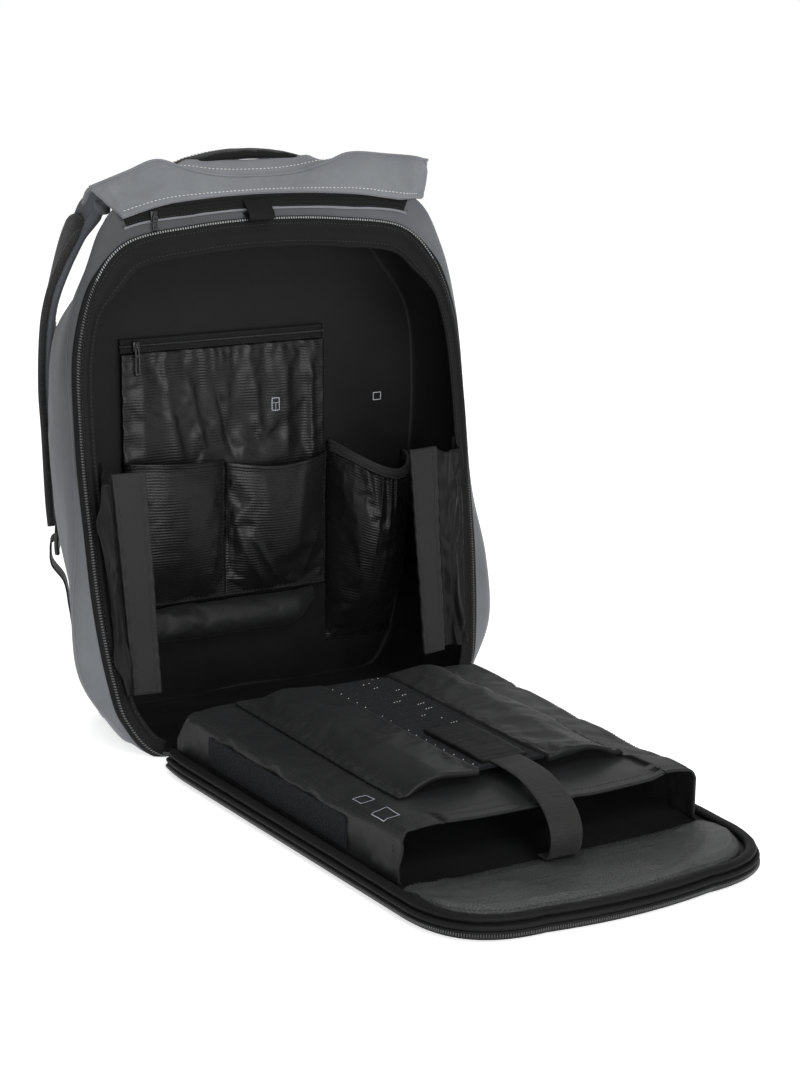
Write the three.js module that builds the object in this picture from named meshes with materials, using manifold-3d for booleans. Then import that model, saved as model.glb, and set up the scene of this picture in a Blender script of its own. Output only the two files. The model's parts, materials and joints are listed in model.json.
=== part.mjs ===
// Anti-theft backpack standing open. The padded back panel lies on the ground in front of the shell,
// with its laptop and tablet sleeves on top, and the shoulder straps are thrown over behind the shell.
// Millimetres, X to the bag's right as seen from the open side, Y to the rear, Z up.
// The working origin is the middle of the hinge line on the ground. The finished group is moved
// so that its origin is the middle of the shell's flat base.

import * as THREE from "three";
import { mergeVertices } from "three/addons/utils/BufferGeometryUtils.js";
import Module from "manifold-3d";

const wasm = await Module();
wasm.setup();

// Driving dimensions

const GAP = 0.3; // clearance between pieces that are sewn or rest on each other

const BAG = {
  halfWidth: 167, // teeth line at chest height
  depth: 130, // hinge line to the rear edge
  height: 425, // ground to the padded crown
  lean: 70, // how far back the teeth line lies at its top corners
  leanPower: 0.65, // how quickly it leans: below 1 is steeper near the ground
  backWall: 118, // hinge line to the inside back wall
};

const CLOTH = {
  shell: 2,
  lining: 1.2,
  tape: 1.6,
  pocket: 1.5,
  wing: 1.4,
  tab: 2.4,
  yoke: 2.6,
  sleeve: 1.8,
  web: 1.5,
  webbing: 1.8,
};

// One row for each station round the right half of the outline, from the middle of the foot to the
// middle of the crown. x is a share of BAG.halfWidth, y of BAG.depth and z of BAG.height. The
// sections are the teeth line, the outer edge of the flat border round it, the side and the rear edge.
// The teeth line's own y comes from the lean, and edgeBack is counted from the teeth line.
// sway is how far the soft shell leans to the right of the teeth line, on both sides alike.
const OUTLINE = [
  { name: "foot_centre", sway: 0, teethX: 0, teethZ: 0.005, edgeX: 0, edgeBack: 0.046, edgeZ: 0, sideX: 0, sideY: 0.5, sideZ: 0, rearX: 0, rearY: 0.938, rearZ: 0.007 },
  { name: "foot_corner", sway: 0, teethX: 0.778, teethZ: 0.005, edgeX: 0.784, edgeBack: 0.046, edgeZ: 0, sideX: 0.778, sideY: 0.5, sideZ: 0, rearX: 0.707, rearY: 0.938, rearZ: 0.007 },
  { name: "low", sway: 0.012, teethX: 0.91, teethZ: 0.066, edgeX: 0.965, edgeBack: 0.092, edgeZ: 0.061, sideX: 0.898, sideY: 0.554, sideZ: 0.059, rearX: 0.79, rearY: 0.946, rearZ: 0.052 },
  { name: "pod", sway: 0.022, teethX: 0.949, teethZ: 0.132, edgeX: 1.08, edgeBack: 0.115, edgeZ: 0.134, sideX: 0.968, sideY: 0.6, sideZ: 0.132, rearX: 0.832, rearY: 0.962, rearZ: 0.129 },
  { name: "hip", sway: 0.015, teethX: 0.982, teethZ: 0.264, edgeX: 1.092, edgeBack: 0.092, edgeZ: 0.254, sideX: 0.976, sideY: 0.631, sideZ: 0.254, rearX: 0.87, rearY: 0.977, rearZ: 0.254 },
  { name: "waist", sway: 0, teethX: 0.992, teethZ: 0.393, edgeX: 1.038, edgeBack: 0.054, edgeZ: 0.388, sideX: 1, sideY: 0.677, sideZ: 0.388, rearX: 0.912, rearY: 0.985, rearZ: 0.388 },
  { name: "chest", sway: 0, teethX: 1, teethZ: 0.565, edgeX: 1.02, edgeBack: 0.046, edgeZ: 0.565, sideX: 1.025, sideY: 0.715, sideZ: 0.565, rearX: 0.932, rearY: 0.985, rearZ: 0.565 },
  { name: "high", sway: 0, teethX: 0.968, teethZ: 0.722, edgeX: 1.006, edgeBack: 0.046, edgeZ: 0.729, sideX: 0.98, sideY: 0.723, sideZ: 0.727, rearX: 0.9, rearY: 0.977, rearZ: 0.722 },
  { name: "shoulder", sway: 0.024, teethX: 0.864, teethZ: 0.831, edgeX: 0.915, edgeBack: 0.046, edgeZ: 0.854, sideX: 0.835, sideY: 0.708, sideZ: 0.852, rearX: 0.69, rearY: 0.954, rearZ: 0.833 },
  { name: "corner", sway: 0.024, teethX: 0.722, teethZ: 0.887, edgeX: 0.785, edgeBack: 0.038, edgeZ: 0.939, sideX: 0.675, sideY: 0.738, sideZ: 0.946, rearX: 0.545, rearY: 0.938, rearZ: 0.913 },
  { name: "crown", sway: 0.01, teethX: 0.371, teethZ: 0.911, edgeX: 0.371, edgeBack: 0.031, edgeZ: 0.962, sideX: 0.359, sideY: 0.792, sideZ: 0.988, rearX: 0.299, rearY: 0.931, rearZ: 0.951 },
  { name: "top_centre", sway: 0, teethX: 0, teethZ: 0.918, edgeX: 0, edgeBack: 0.031, edgeZ: 0.967, sideX: 0, sideY: 0.808, sideZ: 1, rearX: 0, rearY: 0.931, rearZ: 0.96 },
];
const CORNER_ROW = OUTLINE.findIndex((row) => row.name === "corner");
const REAR_FACE = { shrink: 0.72, y: 1.05, poleY: 1.075, poleZ: 0.48 };
const COLUMNS_PER_STATION = 2;
const ROW_STEPS = [2, 2, 3, 2, 1]; // grid rows from each section to the next

const PANEL = {
  start: 14, // hinge line to the board
  length: 424, // hinge line to the far edge
  hingeHalf: 132,
  rootHalf: 143.5,
  tipHalf: 133.5,
  rootRound: 48, // length over which the hinge end widens
  corner: 70,
  bow: 6, // how far the far edge bulges between its corners
  thick: 12,
  zipBand: 4,
  zipLow: 2.5,
  zipHigh: 7.5,
  weltInset: 3,
  weltWide: 4.2,
  weltHigh: 3.2,
  padInset: 13,
  padStart: 334,
  padHigh: 4.5,
};

const SLEEVE = {
  half: 128, // half the laptop sleeve's width at its closed end
  mouthHalf: 119,
  start: 22, // hinge line to its closed end
  slopeEnd: 48, // where the closed end's slope reaches full height
  mouth: 328, // hinge line to its mouth
  shoulderHigh: 32, // height of its side walls above the board
  ridgeHalf: 92, // half the width between the pads' outer seams
  ridgeHigh: 35.5,
};

const PADS = {
  start: 44,
  mouth: 280,
  thick: 5,
  rise: 14, // height of the pads' crest over the laptop sleeve's top
  innerRise: 11.5,
  stripHalf: 28,
  stripThick: 2,
  rest: 1, // clearance over the laptop sleeve
};

const POCKETS = {
  left: -0.635 * BAG.halfWidth,
  right: 0.431 * BAG.halfWidth,
  divide: -0.12 * BAG.halfWidth, // where the book and phone pockets meet
  bottom: 84,
  top: 299,
  zipHigh: 11, // height of the zip tape along the top
  backThick: 4.7, // the flat zip pocket behind the other two
  wrinkle: 3,
  bookHem: 203,
  phoneHem: 190,
  bookDepth: 17,
  phoneDepth: 16,
  bottleLeft: 0.455 * BAG.halfWidth,
  bottleRight: 0.844 * BAG.halfWidth,
  bottleBottom: 32,
  bottleHem: 204,
  bottleSag: 22,
  bottleDepth: 42,
  bindingHigh: 9,
};

const BOLSTER = { left: -0.659 * BAG.halfWidth, right: 0.347 * BAG.halfWidth, radius: 14, z: 69, back: 9 };

const WING = { tabWide: 26, tabFootShare: 0.8 };
const WING_SPAN = { left: { low: 50, high: 214 }, right: { low: 45, high: 207 } };

// Shared helpers

const lerp = THREE.MathUtils.lerp;
const vec = (x, y, z) => new THREE.Vector3(x, y, z);

// A closed triangle mesh as a solid, turned so that its faces point out.
function solidFrom(points, triangles) {
  const geometry = new THREE.BufferGeometry().setFromPoints(points);
  geometry.setIndex(triangles.flat());
  const merged = mergeVertices(geometry, 1e-4);
  const index = merged.index.array;
  const kept = [];
  for (let i = 0; i < index.length; i += 3) {
    const [a, b, c] = [index[i], index[i + 1], index[i + 2]];
    if (a !== b && b !== c && c !== a) kept.push(a, b, c);
  }
  const make = (order) =>
    new wasm.Manifold(
      new wasm.Mesh({
        numProp: 3,
        vertProperties: new Float32Array(merged.attributes.position.array),
        triVerts: new Uint32Array(order),
      }),
    );
  const solid = make(kept);
  if (solid.volume() > 0) return solid;
  const turned = [];
  for (let i = 0; i < kept.length; i += 3) turned.push(kept[i], kept[i + 2], kept[i + 1]);
  return make(turned);
}

// A three.js geometry that is one closed surface, as a solid.
function solidOfGeometry(geometry) {
  const bare = geometry.clone();
  bare.deleteAttribute("normal");
  bare.deleteAttribute("uv");
  const merged = mergeVertices(bare, 1e-4);
  const points = [];
  const position = merged.attributes.position;
  for (let i = 0; i < position.count; i++) points.push(new THREE.Vector3().fromBufferAttribute(position, i));
  const triangles = [];
  const index = merged.index.array;
  for (let i = 0; i < index.length; i += 3) triangles.push([index[i], index[i + 1], index[i + 2]]);
  return solidFrom(points, triangles);
}

// The biggest body of a trimmed solid: what is left beyond the trimming surface is offcut.
function largest(solid) {
  return solid.decompose().reduce((best, body) => (body.volume() > best.volume() ? body : best));
}

function quad(triangles, a, b, c, d) {
  triangles.push([a, b, c], [a, c, d]);
}

// A closed slab between two grids of points, grid[i][j], of the same size.
function slab(front, back) {
  const rows = front.length;
  const columns = front[0].length;
  const points = [...front.flat(), ...back.flat()];
  const triangles = [];
  const f = (i, j) => i * columns + j;
  const b = (i, j) => rows * columns + i * columns + j;
  for (let i = 0; i < rows - 1; i++) {
    for (let j = 0; j < columns - 1; j++) {
      quad(triangles, f(i, j), f(i + 1, j), f(i + 1, j + 1), f(i, j + 1));
      quad(triangles, b(i, j), b(i, j + 1), b(i + 1, j + 1), b(i + 1, j));
    }
  }
  for (let i = 0; i < rows - 1; i++) {
    quad(triangles, f(i, 0), b(i, 0), b(i + 1, 0), f(i + 1, 0));
    quad(triangles, f(i, columns - 1), f(i + 1, columns - 1), b(i + 1, columns - 1), b(i, columns - 1));
  }
  for (let j = 0; j < columns - 1; j++) {
    quad(triangles, f(0, j), f(0, j + 1), b(0, j + 1), b(0, j));
    quad(triangles, f(rows - 1, j), b(rows - 1, j), b(rows - 1, j + 1), f(rows - 1, j + 1));
  }
  return solidFrom(points, triangles);
}

// A grid of points from a function of two shares, 0 to 1.
function gridOf(at, rows, columns) {
  return Array.from({ length: rows + 1 }, (_, i) =>
    Array.from({ length: columns + 1 }, (_, j) => at(i / rows, j / columns)),
  );
}

// The grid moved by a distance along its own normals.
function offsetGrid(grid, distance) {
  const rows = grid.length;
  const columns = grid[0].length;
  return grid.map((row, i) =>
    row.map((point, j) => {
      const down = grid[Math.min(i + 1, rows - 1)][j].clone().sub(grid[Math.max(i - 1, 0)][j]);
      const across = grid[i][Math.min(j + 1, columns - 1)].clone().sub(grid[i][Math.max(j - 1, 0)]);
      const normal = down.cross(across).normalize();
      return point.clone().addScaledVector(normal, distance);
    }),
  );
}

// A closed tube through rings of points, with a fan over each end.
function sweep(rings) {
  const sides = rings[0].length;
  const points = rings.flat();
  const triangles = [];
  for (let i = 0; i < rings.length - 1; i++) {
    for (let j = 0; j < sides; j++) {
      const next = (j + 1) % sides;
      quad(triangles, i * sides + j, (i + 1) * sides + j, (i + 1) * sides + next, i * sides + next);
    }
  }
  const middle = (ring) =>
    ring.reduce((sum, point) => sum.add(point), vec(0, 0, 0)).divideScalar(ring.length);
  const first = points.push(middle(rings[0])) - 1;
  const last = points.push(middle(rings[rings.length - 1])) - 1;
  const end = (rings.length - 1) * sides;
  for (let j = 0; j < sides; j++) {
    const next = (j + 1) % sides;
    triangles.push([first, j, next], [last, end + next, end + j]);
  }
  return solidFrom(points, triangles);
}

// A flat shape in X and Y raised between two heights, with its upper edge rounded by a bevel.
function plate(shape, low, high, bevel = 0) {
  const geometry = new THREE.ExtrudeGeometry(shape, {
    depth: high - low - bevel,
    bevelEnabled: bevel > 0,
    bevelThickness: bevel,
    bevelSize: bevel,
    bevelOffset: -bevel,
    bevelSegments: 2,
    curveSegments: 8,
  });
  geometry.translate(0, 0, low);
  const solid = solidOfGeometry(geometry);
  return bevel > 0 ? solid.trimByPlane([0, 0, 1], low) : solid;
}

function box(x0, x1, y0, y1, z0, z1) {
  const geometry = new THREE.BoxGeometry(x1 - x0, y1 - y0, z1 - z0);
  geometry.translate((x0 + x1) / 2, (y0 + y1) / 2, (z0 + z1) / 2);
  return solidOfGeometry(geometry);
}

// The bag's outer surface

const leanAt = (z) => BAG.lean * (Math.max(z, 0) / (OUTLINE[CORNER_ROW].teethZ * BAG.height)) ** BAG.leanPower;

// The closed curve of one section, from the middle of the foot up the right side and down the left.
function sectionCurve(pointOf, swayed = 1) {
  const placed = (side) =>
    OUTLINE.map((row) => {
      const point = pointOf(row);
      return point.setX(side * point.x + swayed * row.sway * BAG.halfWidth);
    });
  const right = placed(1);
  const left = placed(-1).slice(1, -1).reverse();
  return new THREE.CatmullRomCurve3([...right, ...left], true, "centripetal");
}

const rearPoint = (row) => vec(row.rearX * BAG.halfWidth, row.rearY * BAG.depth, row.rearZ * BAG.height);
const POLE = vec(0, REAR_FACE.poleY * BAG.depth, REAR_FACE.poleZ * BAG.height);
const SECTIONS = [
  sectionCurve((row) => {
    const z = row.teethZ * BAG.height;
    return vec(row.teethX * BAG.halfWidth, leanAt(z), z);
  }, 0),
  sectionCurve((row) => {
    const back = leanAt(row.edgeZ * BAG.height) + row.edgeBack * BAG.depth;
    return vec(row.edgeX * BAG.halfWidth, back, row.edgeZ * BAG.height);
  }),
  sectionCurve((row) => vec(row.sideX * BAG.halfWidth, row.sideY * BAG.depth, row.sideZ * BAG.height)),
  sectionCurve(rearPoint),
  sectionCurve((row) => {
    const point = rearPoint(row);
    const z = lerp(POLE.z, point.z, REAR_FACE.shrink);
    return vec(point.x * REAR_FACE.shrink, REAR_FACE.y * BAG.depth, z);
  }),
];
const STATIONS = 2 * (OUTLINE.length - 1); // round the whole outline
const LAST_ROW = SECTIONS.length;

// A point of the outer surface. u counts stations round the outline, and v counts sections.
function bagPoint(u, v) {
  const share = (((u % STATIONS) + STATIONS) % STATIONS) / STATIONS;
  const column = [...SECTIONS.map((curve) => curve.getPoint(share)), POLE];
  const point = new THREE.CatmullRomCurve3(column, false, "centripetal").getPoint(v / LAST_ROW);
  point.z = Math.max(point.z, 0);
  return point;
}

// The outward normal there.
function bagNormal(u, v) {
  const step = 0.02;
  const low = Math.max(v - step, 0);
  const high = Math.min(v + step, LAST_ROW - step);
  const across = bagPoint(u + step, Math.min(v, high)).sub(bagPoint(u - step, Math.min(v, high)));
  const back = bagPoint(u, high).sub(bagPoint(u, low));
  const normal = back.cross(across);
  return normal.lengthSq() > 0 ? normal.normalize() : vec(0, 1, 0);
}

const GRID_V = ROW_STEPS.flatMap((steps, k) => Array.from({ length: steps }, (_, i) => k + i / steps));
const GRID_U = Array.from({ length: STATIONS * COLUMNS_PER_STATION }, (_, i) => i / COLUMNS_PER_STATION);
const SURFACE = GRID_V.map((v) => GRID_U.map((u) => ({ point: bagPoint(u, v), normal: bagNormal(u, v) })));

// Rows of points of the bag's surface moved outward by a distance, none further back than a wall.
// The last row is the pole.
function bagRows(distance, wall = Infinity, firstRow = 0) {
  const rows = SURFACE.slice(firstRow).map((row) =>
    row.map(({ point, normal }) => point.clone().addScaledVector(normal, distance)),
  );
  rows.push(GRID_U.map(() => POLE.clone().add(vec(0, distance, 0))));
  rows.forEach((row) => row.forEach((point) => (point.y = Math.min(point.y, wall))));
  return rows;
}

function bowlTriangles(rows, first, facing) {
  const columns = rows[0].length;
  const triangles = [];
  for (let i = 0; i < rows.length - 1; i++) {
    for (let j = 0; j < columns; j++) {
      const next = (j + 1) % columns;
      const corners = [i * columns + j, i * columns + next, (i + 1) * columns + next, (i + 1) * columns + j];
      const [a, b, c, d] = corners.map((corner) => corner + first);
      if (facing > 0) quad(triangles, a, b, c, d);
      else quad(triangles, a, d, c, b);
    }
  }
  return triangles;
}

// The wall between two bowls of rows, joined round the mouth.
function bowlWall(outer, inner) {
  const columns = outer[0].length;
  const innerFirst = outer.length * columns;
  const triangles = [...bowlTriangles(outer, 0, 1), ...bowlTriangles(inner, innerFirst, -1)];
  for (let j = 0; j < columns; j++) {
    const next = (j + 1) % columns;
    quad(triangles, j, innerFirst + j, innerFirst + next, next);
  }
  return solidFrom([...outer.flat(), ...inner.flat()], triangles);
}

// The whole space inside a bowl of rows, reaching forward from its mouth by a distance.
function bowlSpace(rows, reach) {
  const mouth = rows[0].map((point) => vec(point.x, -reach, point.z));
  const all = reach > 0 ? [mouth, ...rows] : rows;
  const columns = rows[0].length;
  const triangles = bowlTriangles(all, 0, 1);
  const points = all.flat();
  const sum = all[0].reduce((total, point) => total.add(point), vec(0, 0, 0));
  const centre = points.push(sum.divideScalar(columns)) - 1;
  for (let j = 0; j < columns; j++) triangles.push([centre, (j + 1) % columns, j]);
  return solidFrom(points, triangles);
}

const LINING_OUT = CLOTH.shell + GAP;
const LINING_IN = LINING_OUT + CLOTH.lining;
const LINING_ROW = 1; // the lining starts this many grid rows behind the teeth line
const FORWARD = 2 * PANEL.length;
const BACK_PLANE = BAG.backWall - GAP; // where pieces on the back wall stand

const outside = bowlSpace(bagRows(GAP), 0); // what nothing outside the shell may enter
const cavity = bowlSpace(bagRows(-LINING_IN - GAP, BACK_PLANE), FORWARD); // the room inside

// A strip that lies on the outer surface, between two stations and two sections.
function patch(u0, u1, columns, v0, v1, rows, thick) {
  const at = (distance) => (i, j) => {
    const u = lerp(u0, u1, j);
    const v = lerp(v0, v1, i);
    return bagPoint(u, v).addScaledVector(bagNormal(u, v), distance);
  };
  const bite = 1.5; // taken off again by the cut
  const strip = slab(gridOf(at(thick + GAP), rows, columns), gridOf(at(-bite), rows, columns));
  return largest(strip.subtract(outside).subtract(yokeRoom()));
}

// The shell and what is sewn to it

const shell = () => bowlWall(bagRows(0), bagRows(-CLOTH.shell));

const lining = () =>
  bowlWall(
    bagRows(-LINING_OUT, BAG.backWall + CLOTH.lining, LINING_ROW),
    bagRows(-LINING_IN, BAG.backWall, LINING_ROW),
  );

// The flat tape inside the teeth line, wide at the crown and narrow at the sides.
const RIM_TAPE = { side: 11, crown: 21, crownFrom: 0.86, off: 0.5 };
function rimTape(margin = 0) {
  const first = 1;
  const last = STATIONS - 1;
  const steps = (last - first) * COLUMNS_PER_STATION;
  const aim = vec(0, 0, BAG.height * 0.45);
  const rings = [];
  for (let i = 0; i <= steps; i++) {
    const u = lerp(first, last, i / steps);
    const edge = bagPoint(u, 0);
    const crown = THREE.MathUtils.smoothstep(edge.z / BAG.height, RIM_TAPE.crownFrom - 0.1, RIM_TAPE.crownFrom);
    const along = bagPoint(u + 0.05, 0).sub(bagPoint(u - 0.05, 0)).normalize();
    const forward = vec(0, -1, 0.18).normalize();
    const inward = along.clone().cross(forward).normalize();
    if (inward.dot(aim.clone().sub(edge)) < 0) inward.negate();
    const wide = lerp(RIM_TAPE.side, RIM_TAPE.crown, crown);
    const at = (a, b) => edge.clone().addScaledVector(inward, a).addScaledVector(forward, b);
    const low = RIM_TAPE.off - margin;
    const high = RIM_TAPE.off + CLOTH.tape + margin;
    rings.push([at(-margin, low), at(wide + margin, low), at(wide + margin, high), at(-margin, high)]);
  }
  return sweep(rings);
}

const TOP_ZIP = { first: CORNER_ROW + 0.1, last: STATIONS - CORNER_ROW - 0.1, low: 0.42, high: 0.9 };
const topZip = () => patch(TOP_ZIP.first, TOP_ZIP.last, 12, TOP_ZIP.low, TOP_ZIP.high, 2, CLOTH.tape);

// A slider with its hanging puller, in front of a point that its tape passes through.
function puller(at, long) {
  const slider = { half: 3.2, high: 8, deep: 3 };
  const pull = { half: 2, thick: 1.6 };
  const body = box(at.x - slider.half, at.x + slider.half, at.y - slider.deep, at.y, at.z - slider.high, at.z);
  const front = at.y - slider.deep;
  const top = at.z - slider.high / 2;
  const hanging = box(at.x - pull.half, at.x + pull.half, front - pull.thick, front + 1, top - long, top);
  return body.add(hanging);
}

function topZipPuller() {
  const at = bagPoint(TOP_ZIP.last - 0.4, (TOP_ZIP.low + TOP_ZIP.high) / 2);
  at.y -= CLOTH.tape + 2 * GAP + 1.8;
  at.z += 1;
  return puller(at, 13);
}

// The folded webbing tab over the main opening.
function pullTab() {
  const tab = { half: 14, reach: 9, low: 0.25, high: 0.8, x: -10 };
  const u = OUTLINE.length - 1 + 0.2;
  const low = bagPoint(u, tab.low);
  const face = low.y - CLOTH.tape - GAP + 0.4;
  const loop = new THREE.Shape();
  loop.moveTo(face, low.z);
  loop.lineTo(face - tab.reach, low.z - 5);
  loop.lineTo(face - tab.reach - 1, low.z + 1);
  loop.lineTo(face, low.z + 11);
  loop.closePath();
  const geometry = new THREE.ExtrudeGeometry(loop, { depth: 2 * tab.half, bevelEnabled: false });
  geometry.rotateX(Math.PI / 2); // the shape's y becomes z, and its depth runs along -y
  geometry.rotateZ(Math.PI / 2); // depth now along x
  geometry.translate(tab.x - tab.half, 0, 0);
  return solidOfGeometry(geometry);
}

// The yoke: a stiff folded collar over the crown, from which both straps leave. One row for each
// station from left to right. x is a share of BAG.halfWidth, y of BAG.depth and z of BAG.height.
const YOKE = [
  { hemX: -0.73, hemY: 0.53, hemZ: 0.938, topX: -0.79, topY: 0.815, topZ: 0.981 },
  { hemX: -0.6, hemY: 0.545, hemZ: 0.95, topX: -0.62, topY: 0.76, topZ: 1.008 },
  { hemX: -0.48, hemY: 0.55, hemZ: 0.958, topX: -0.497, topY: 0.715, topZ: 1.026 },
  { hemX: -0.35, hemY: 0.552, hemZ: 0.963, topX: -0.37, topY: 0.69, topZ: 1.012 },
  { hemX: -0.2, hemY: 0.555, hemZ: 0.967, topX: -0.2, topY: 0.675, topZ: 0.997 },
  { hemX: 0, hemY: 0.555, hemZ: 0.969, topX: 0, topY: 0.67, topZ: 0.993 },
  { hemX: 0.2, hemY: 0.555, hemZ: 0.967, topX: 0.2, topY: 0.675, topZ: 0.997 },
  { hemX: 0.35, hemY: 0.552, hemZ: 0.963, topX: 0.37, topY: 0.69, topZ: 1.012 },
  { hemX: 0.48, hemY: 0.55, hemZ: 0.958, topX: 0.497, topY: 0.715, topZ: 1.026 },
  { hemX: 0.63, hemY: 0.54, hemZ: 0.949, topX: 0.73, topY: 0.72, topZ: 1.019 },
  { hemX: 0.78, hemY: 0.525, hemZ: 0.94, topX: 0.97, topY: 0.725, topZ: 1.009 },
];
const YOKE_FOLD = { back: 16, drop: 13 }; // the doubled edge behind the fold
function yokeGrid() {
  const place = (x, y, z) => vec(x * BAG.halfWidth, y * BAG.depth, z * BAG.height);
  const hem = new THREE.CatmullRomCurve3(YOKE.map((row) => place(row.hemX, row.hemY, row.hemZ)));
  const top = new THREE.CatmullRomCurve3(YOKE.map((row) => place(row.topX, row.topY, row.topZ)));
  return gridOf(
    (i, j) => {
      const low = hem.getPoint(j);
      const high = top.getPoint(j);
      if (i <= 0.75) return low.lerp(high, i / 0.75);
      // past the fold the doubled edge turns down behind, only where the yoke stands up
      const share = (i - 0.75) / 0.25;
      const stand = THREE.MathUtils.smoothstep(Math.abs(high.x) / BAG.halfWidth, 0.3, 0.5);
      const away = lerp(1, YOKE_FOLD.back, stand) * share;
      return high.add(vec(0, away, -YOKE_FOLD.drop * stand * share * share));
    },
    8,
    16,
  );
}

function yoke() {
  const front = yokeGrid();
  return largest(slab(front, offsetGrid(front, -CLOTH.yoke)).subtract(outside));
}

// The yoke with its clearance on every side.
function yokeRoom() {
  const grid = yokeGrid();
  const beyond = (edge, inner) => edge.clone().add(edge.clone().sub(inner).setLength(2 * GAP));
  const wide = grid.map((row) => [beyond(row[0], row[1]), ...row, beyond(row.at(-1), row.at(-2))]);
  const low = wide[0].map((point, j) => beyond(point, wide[1][j]));
  const high = wide.at(-1).map((point, j) => beyond(point, wide.at(-2)[j]));
  const all = [low, ...wide, high];
  return slab(offsetGrid(all, GAP), offsetGrid(all, -CLOTH.yoke - GAP));
}

// A ring across a strap: half a lens on one side of its middle plane.
function strapRing(centre, side, out, halfWide, low, high, round) {
  const at = (a, b) => centre.clone().addScaledVector(side, a * halfWide).addScaledVector(out, b);
  const rim = lerp(low, high, round);
  return [at(-1, low), at(-0.5, low), at(0.5, low), at(1, low), at(1, rim), at(0.72, high), at(-0.72, high), at(-1, rim)];
}

// The shoulder straps. x is a share of BAG.halfWidth, y of BAG.depth and z of BAG.height; wide is a
// share of STRAP.halfWide, and turn is the angle of the strap's width from the X axis, in degrees.
const STRAP = { halfWide: 27, cover: 6.5, mesh: 5, steps: 17, turnEnd: 66 };
const STRAP_LEFT = [
  { x: -0.72, y: 0.79, z: 0.974, wide: 0.45, turn: 150 },
  { x: -0.762, y: 0.877, z: 0.948, wide: 0.55, turn: 120 },
  { x: -0.795, y: 0.985, z: 0.912, wide: 0.75, turn: 92 },
  { x: -0.823, y: 1.085, z: 0.867, wide: 0.92, turn: 76 },
  { x: -0.851, y: 1.162, z: 0.81, wide: 1, turn: 68 },
  { x: -0.871, y: 1.223, z: 0.741, wide: 1, turn: 66 },
  { x: -0.879, y: 1.265, z: 0.62, wide: 1, turn: 66 },
  { x: -0.871, y: 1.265, z: 0.53, wide: 0.98, turn: 66 },
  { x: -0.87, y: 1.238, z: 0.404, wide: 0.95, turn: 66 },
  { x: -0.868, y: 1.215, z: 0.355, wide: 0.92, turn: 66 },
];
// The right strap leaves the yoke further out and higher than the left one.
const STRAP_RIGHT_SHIFT = [
  { x: 0.15, y: -0.02, z: 0.016 },
  { x: 0.12, y: -0.02, z: 0.012 },
  { x: 0.07, y: -0.01, z: 0.004 },
  { x: 0.03, y: 0, z: 0 },
];
const STRAP_RIGHT = STRAP_LEFT.map((row, i) => ({
  ...row,
  x: -row.x + (STRAP_RIGHT_SHIFT[i]?.x ?? 0),
  y: row.y + (STRAP_RIGHT_SHIFT[i]?.y ?? 0),
  z: row.z + (STRAP_RIGHT_SHIFT[i]?.z ?? 0),
  turn: 180 - row.turn,
}));

function strapFrames(table) {
  const path = new THREE.CatmullRomCurve3(
    table.map((row) => vec(row.x * BAG.halfWidth, row.y * BAG.depth, row.z * BAG.height)),
  );
  const values = new THREE.CatmullRomCurve3(table.map((row) => vec(row.wide, row.turn, 0)));
  const outward = Math.sign(table[table.length - 1].x);
  return Array.from({ length: STRAP.steps + 1 }, (_, i) => {
    const t = i / STRAP.steps;
    const along = path.getTangent(t);
    const { x: wide, y: turn } = values.getPoint(t);
    const angle = THREE.MathUtils.degToRad(turn);
    const side = vec(Math.cos(angle), Math.sin(angle), 0).projectOnPlane(along).normalize();
    const out = along.clone().cross(side).normalize();
    if (out.x * outward < 0) out.negate();
    return { centre: path.getPoint(t), along, side, out, halfWide: wide * STRAP.halfWide };
  });
}

// The cover faces the shell and the mesh faces away from it.
function strapCover(table) {
  const rings = strapFrames(table).map((f) =>
    strapRing(f.centre, f.side, f.out.clone().negate(), f.halfWide, GAP / 2, STRAP.cover, 0.35),
  );
  return largest(sweep(rings).subtract(outside).subtract(yokeRoom()));
}

const MESH_FIRST = 4; // the mesh starts this many steps down the strap
function strapMesh(table) {
  const rings = strapFrames(table)
    .slice(MESH_FIRST)
    .map((f) => strapRing(f.centre, f.side, f.out, f.halfWide, GAP / 2, STRAP.mesh, 0.45));
  return largest(sweep(rings).subtract(outside));
}

// A flat band of webbing through rows of { point, side, out }.
function band(frames, halfWide, thick) {
  const rings = frames.map(({ point, side, out }) => {
    const at = (a, b) => point.clone().addScaledVector(side, a).addScaledVector(out, b);
    return [at(-halfWide, 0), at(halfWide, 0), at(halfWide, thick), at(-halfWide, thick)];
  });
  return sweep(rings);
}

// The ladder lock in the strap's end, with the slot that the webbing goes through.
const LOCK = { x: 0.866, y: 1.208, top: 0.349, halfWide: 17, high: 20, thick: 4, slotLow: 7, slotHigh: 13 };
const LOCK_TURN = THREE.MathUtils.degToRad(STRAP.turnEnd);

// Directions at the lock: along its width, and outward through its thickness.
function lockFrame(sign) {
  const side = vec(-sign * Math.cos(LOCK_TURN), Math.sin(LOCK_TURN), 0);
  const out = vec(sign * Math.sin(LOCK_TURN), Math.cos(LOCK_TURN), 0);
  const foot = vec(sign * LOCK.x * BAG.halfWidth, LOCK.y * BAG.depth, LOCK.top * BAG.height - LOCK.high);
  return { side, out, foot };
}

function ladderLock(sign) {
  const { side, out, foot } = lockFrame(sign);
  const at = (a, z, b) => foot.clone().addScaledVector(side, a).addScaledVector(out, b).add(vec(0, 0, z));
  const block = (half, low, high, thick) =>
    sweep(
      [low, high].map((z) => [at(-half, z, -thick), at(half, z, -thick), at(half, z, thick), at(-half, z, thick)]),
    );
  const frame = block(LOCK.halfWide, 0, LOCK.high, LOCK.thick / 2);
  return frame.subtract(block(LOCK.halfWide - 3.5, LOCK.slotLow, LOCK.slotHigh, LOCK.thick));
}

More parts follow.
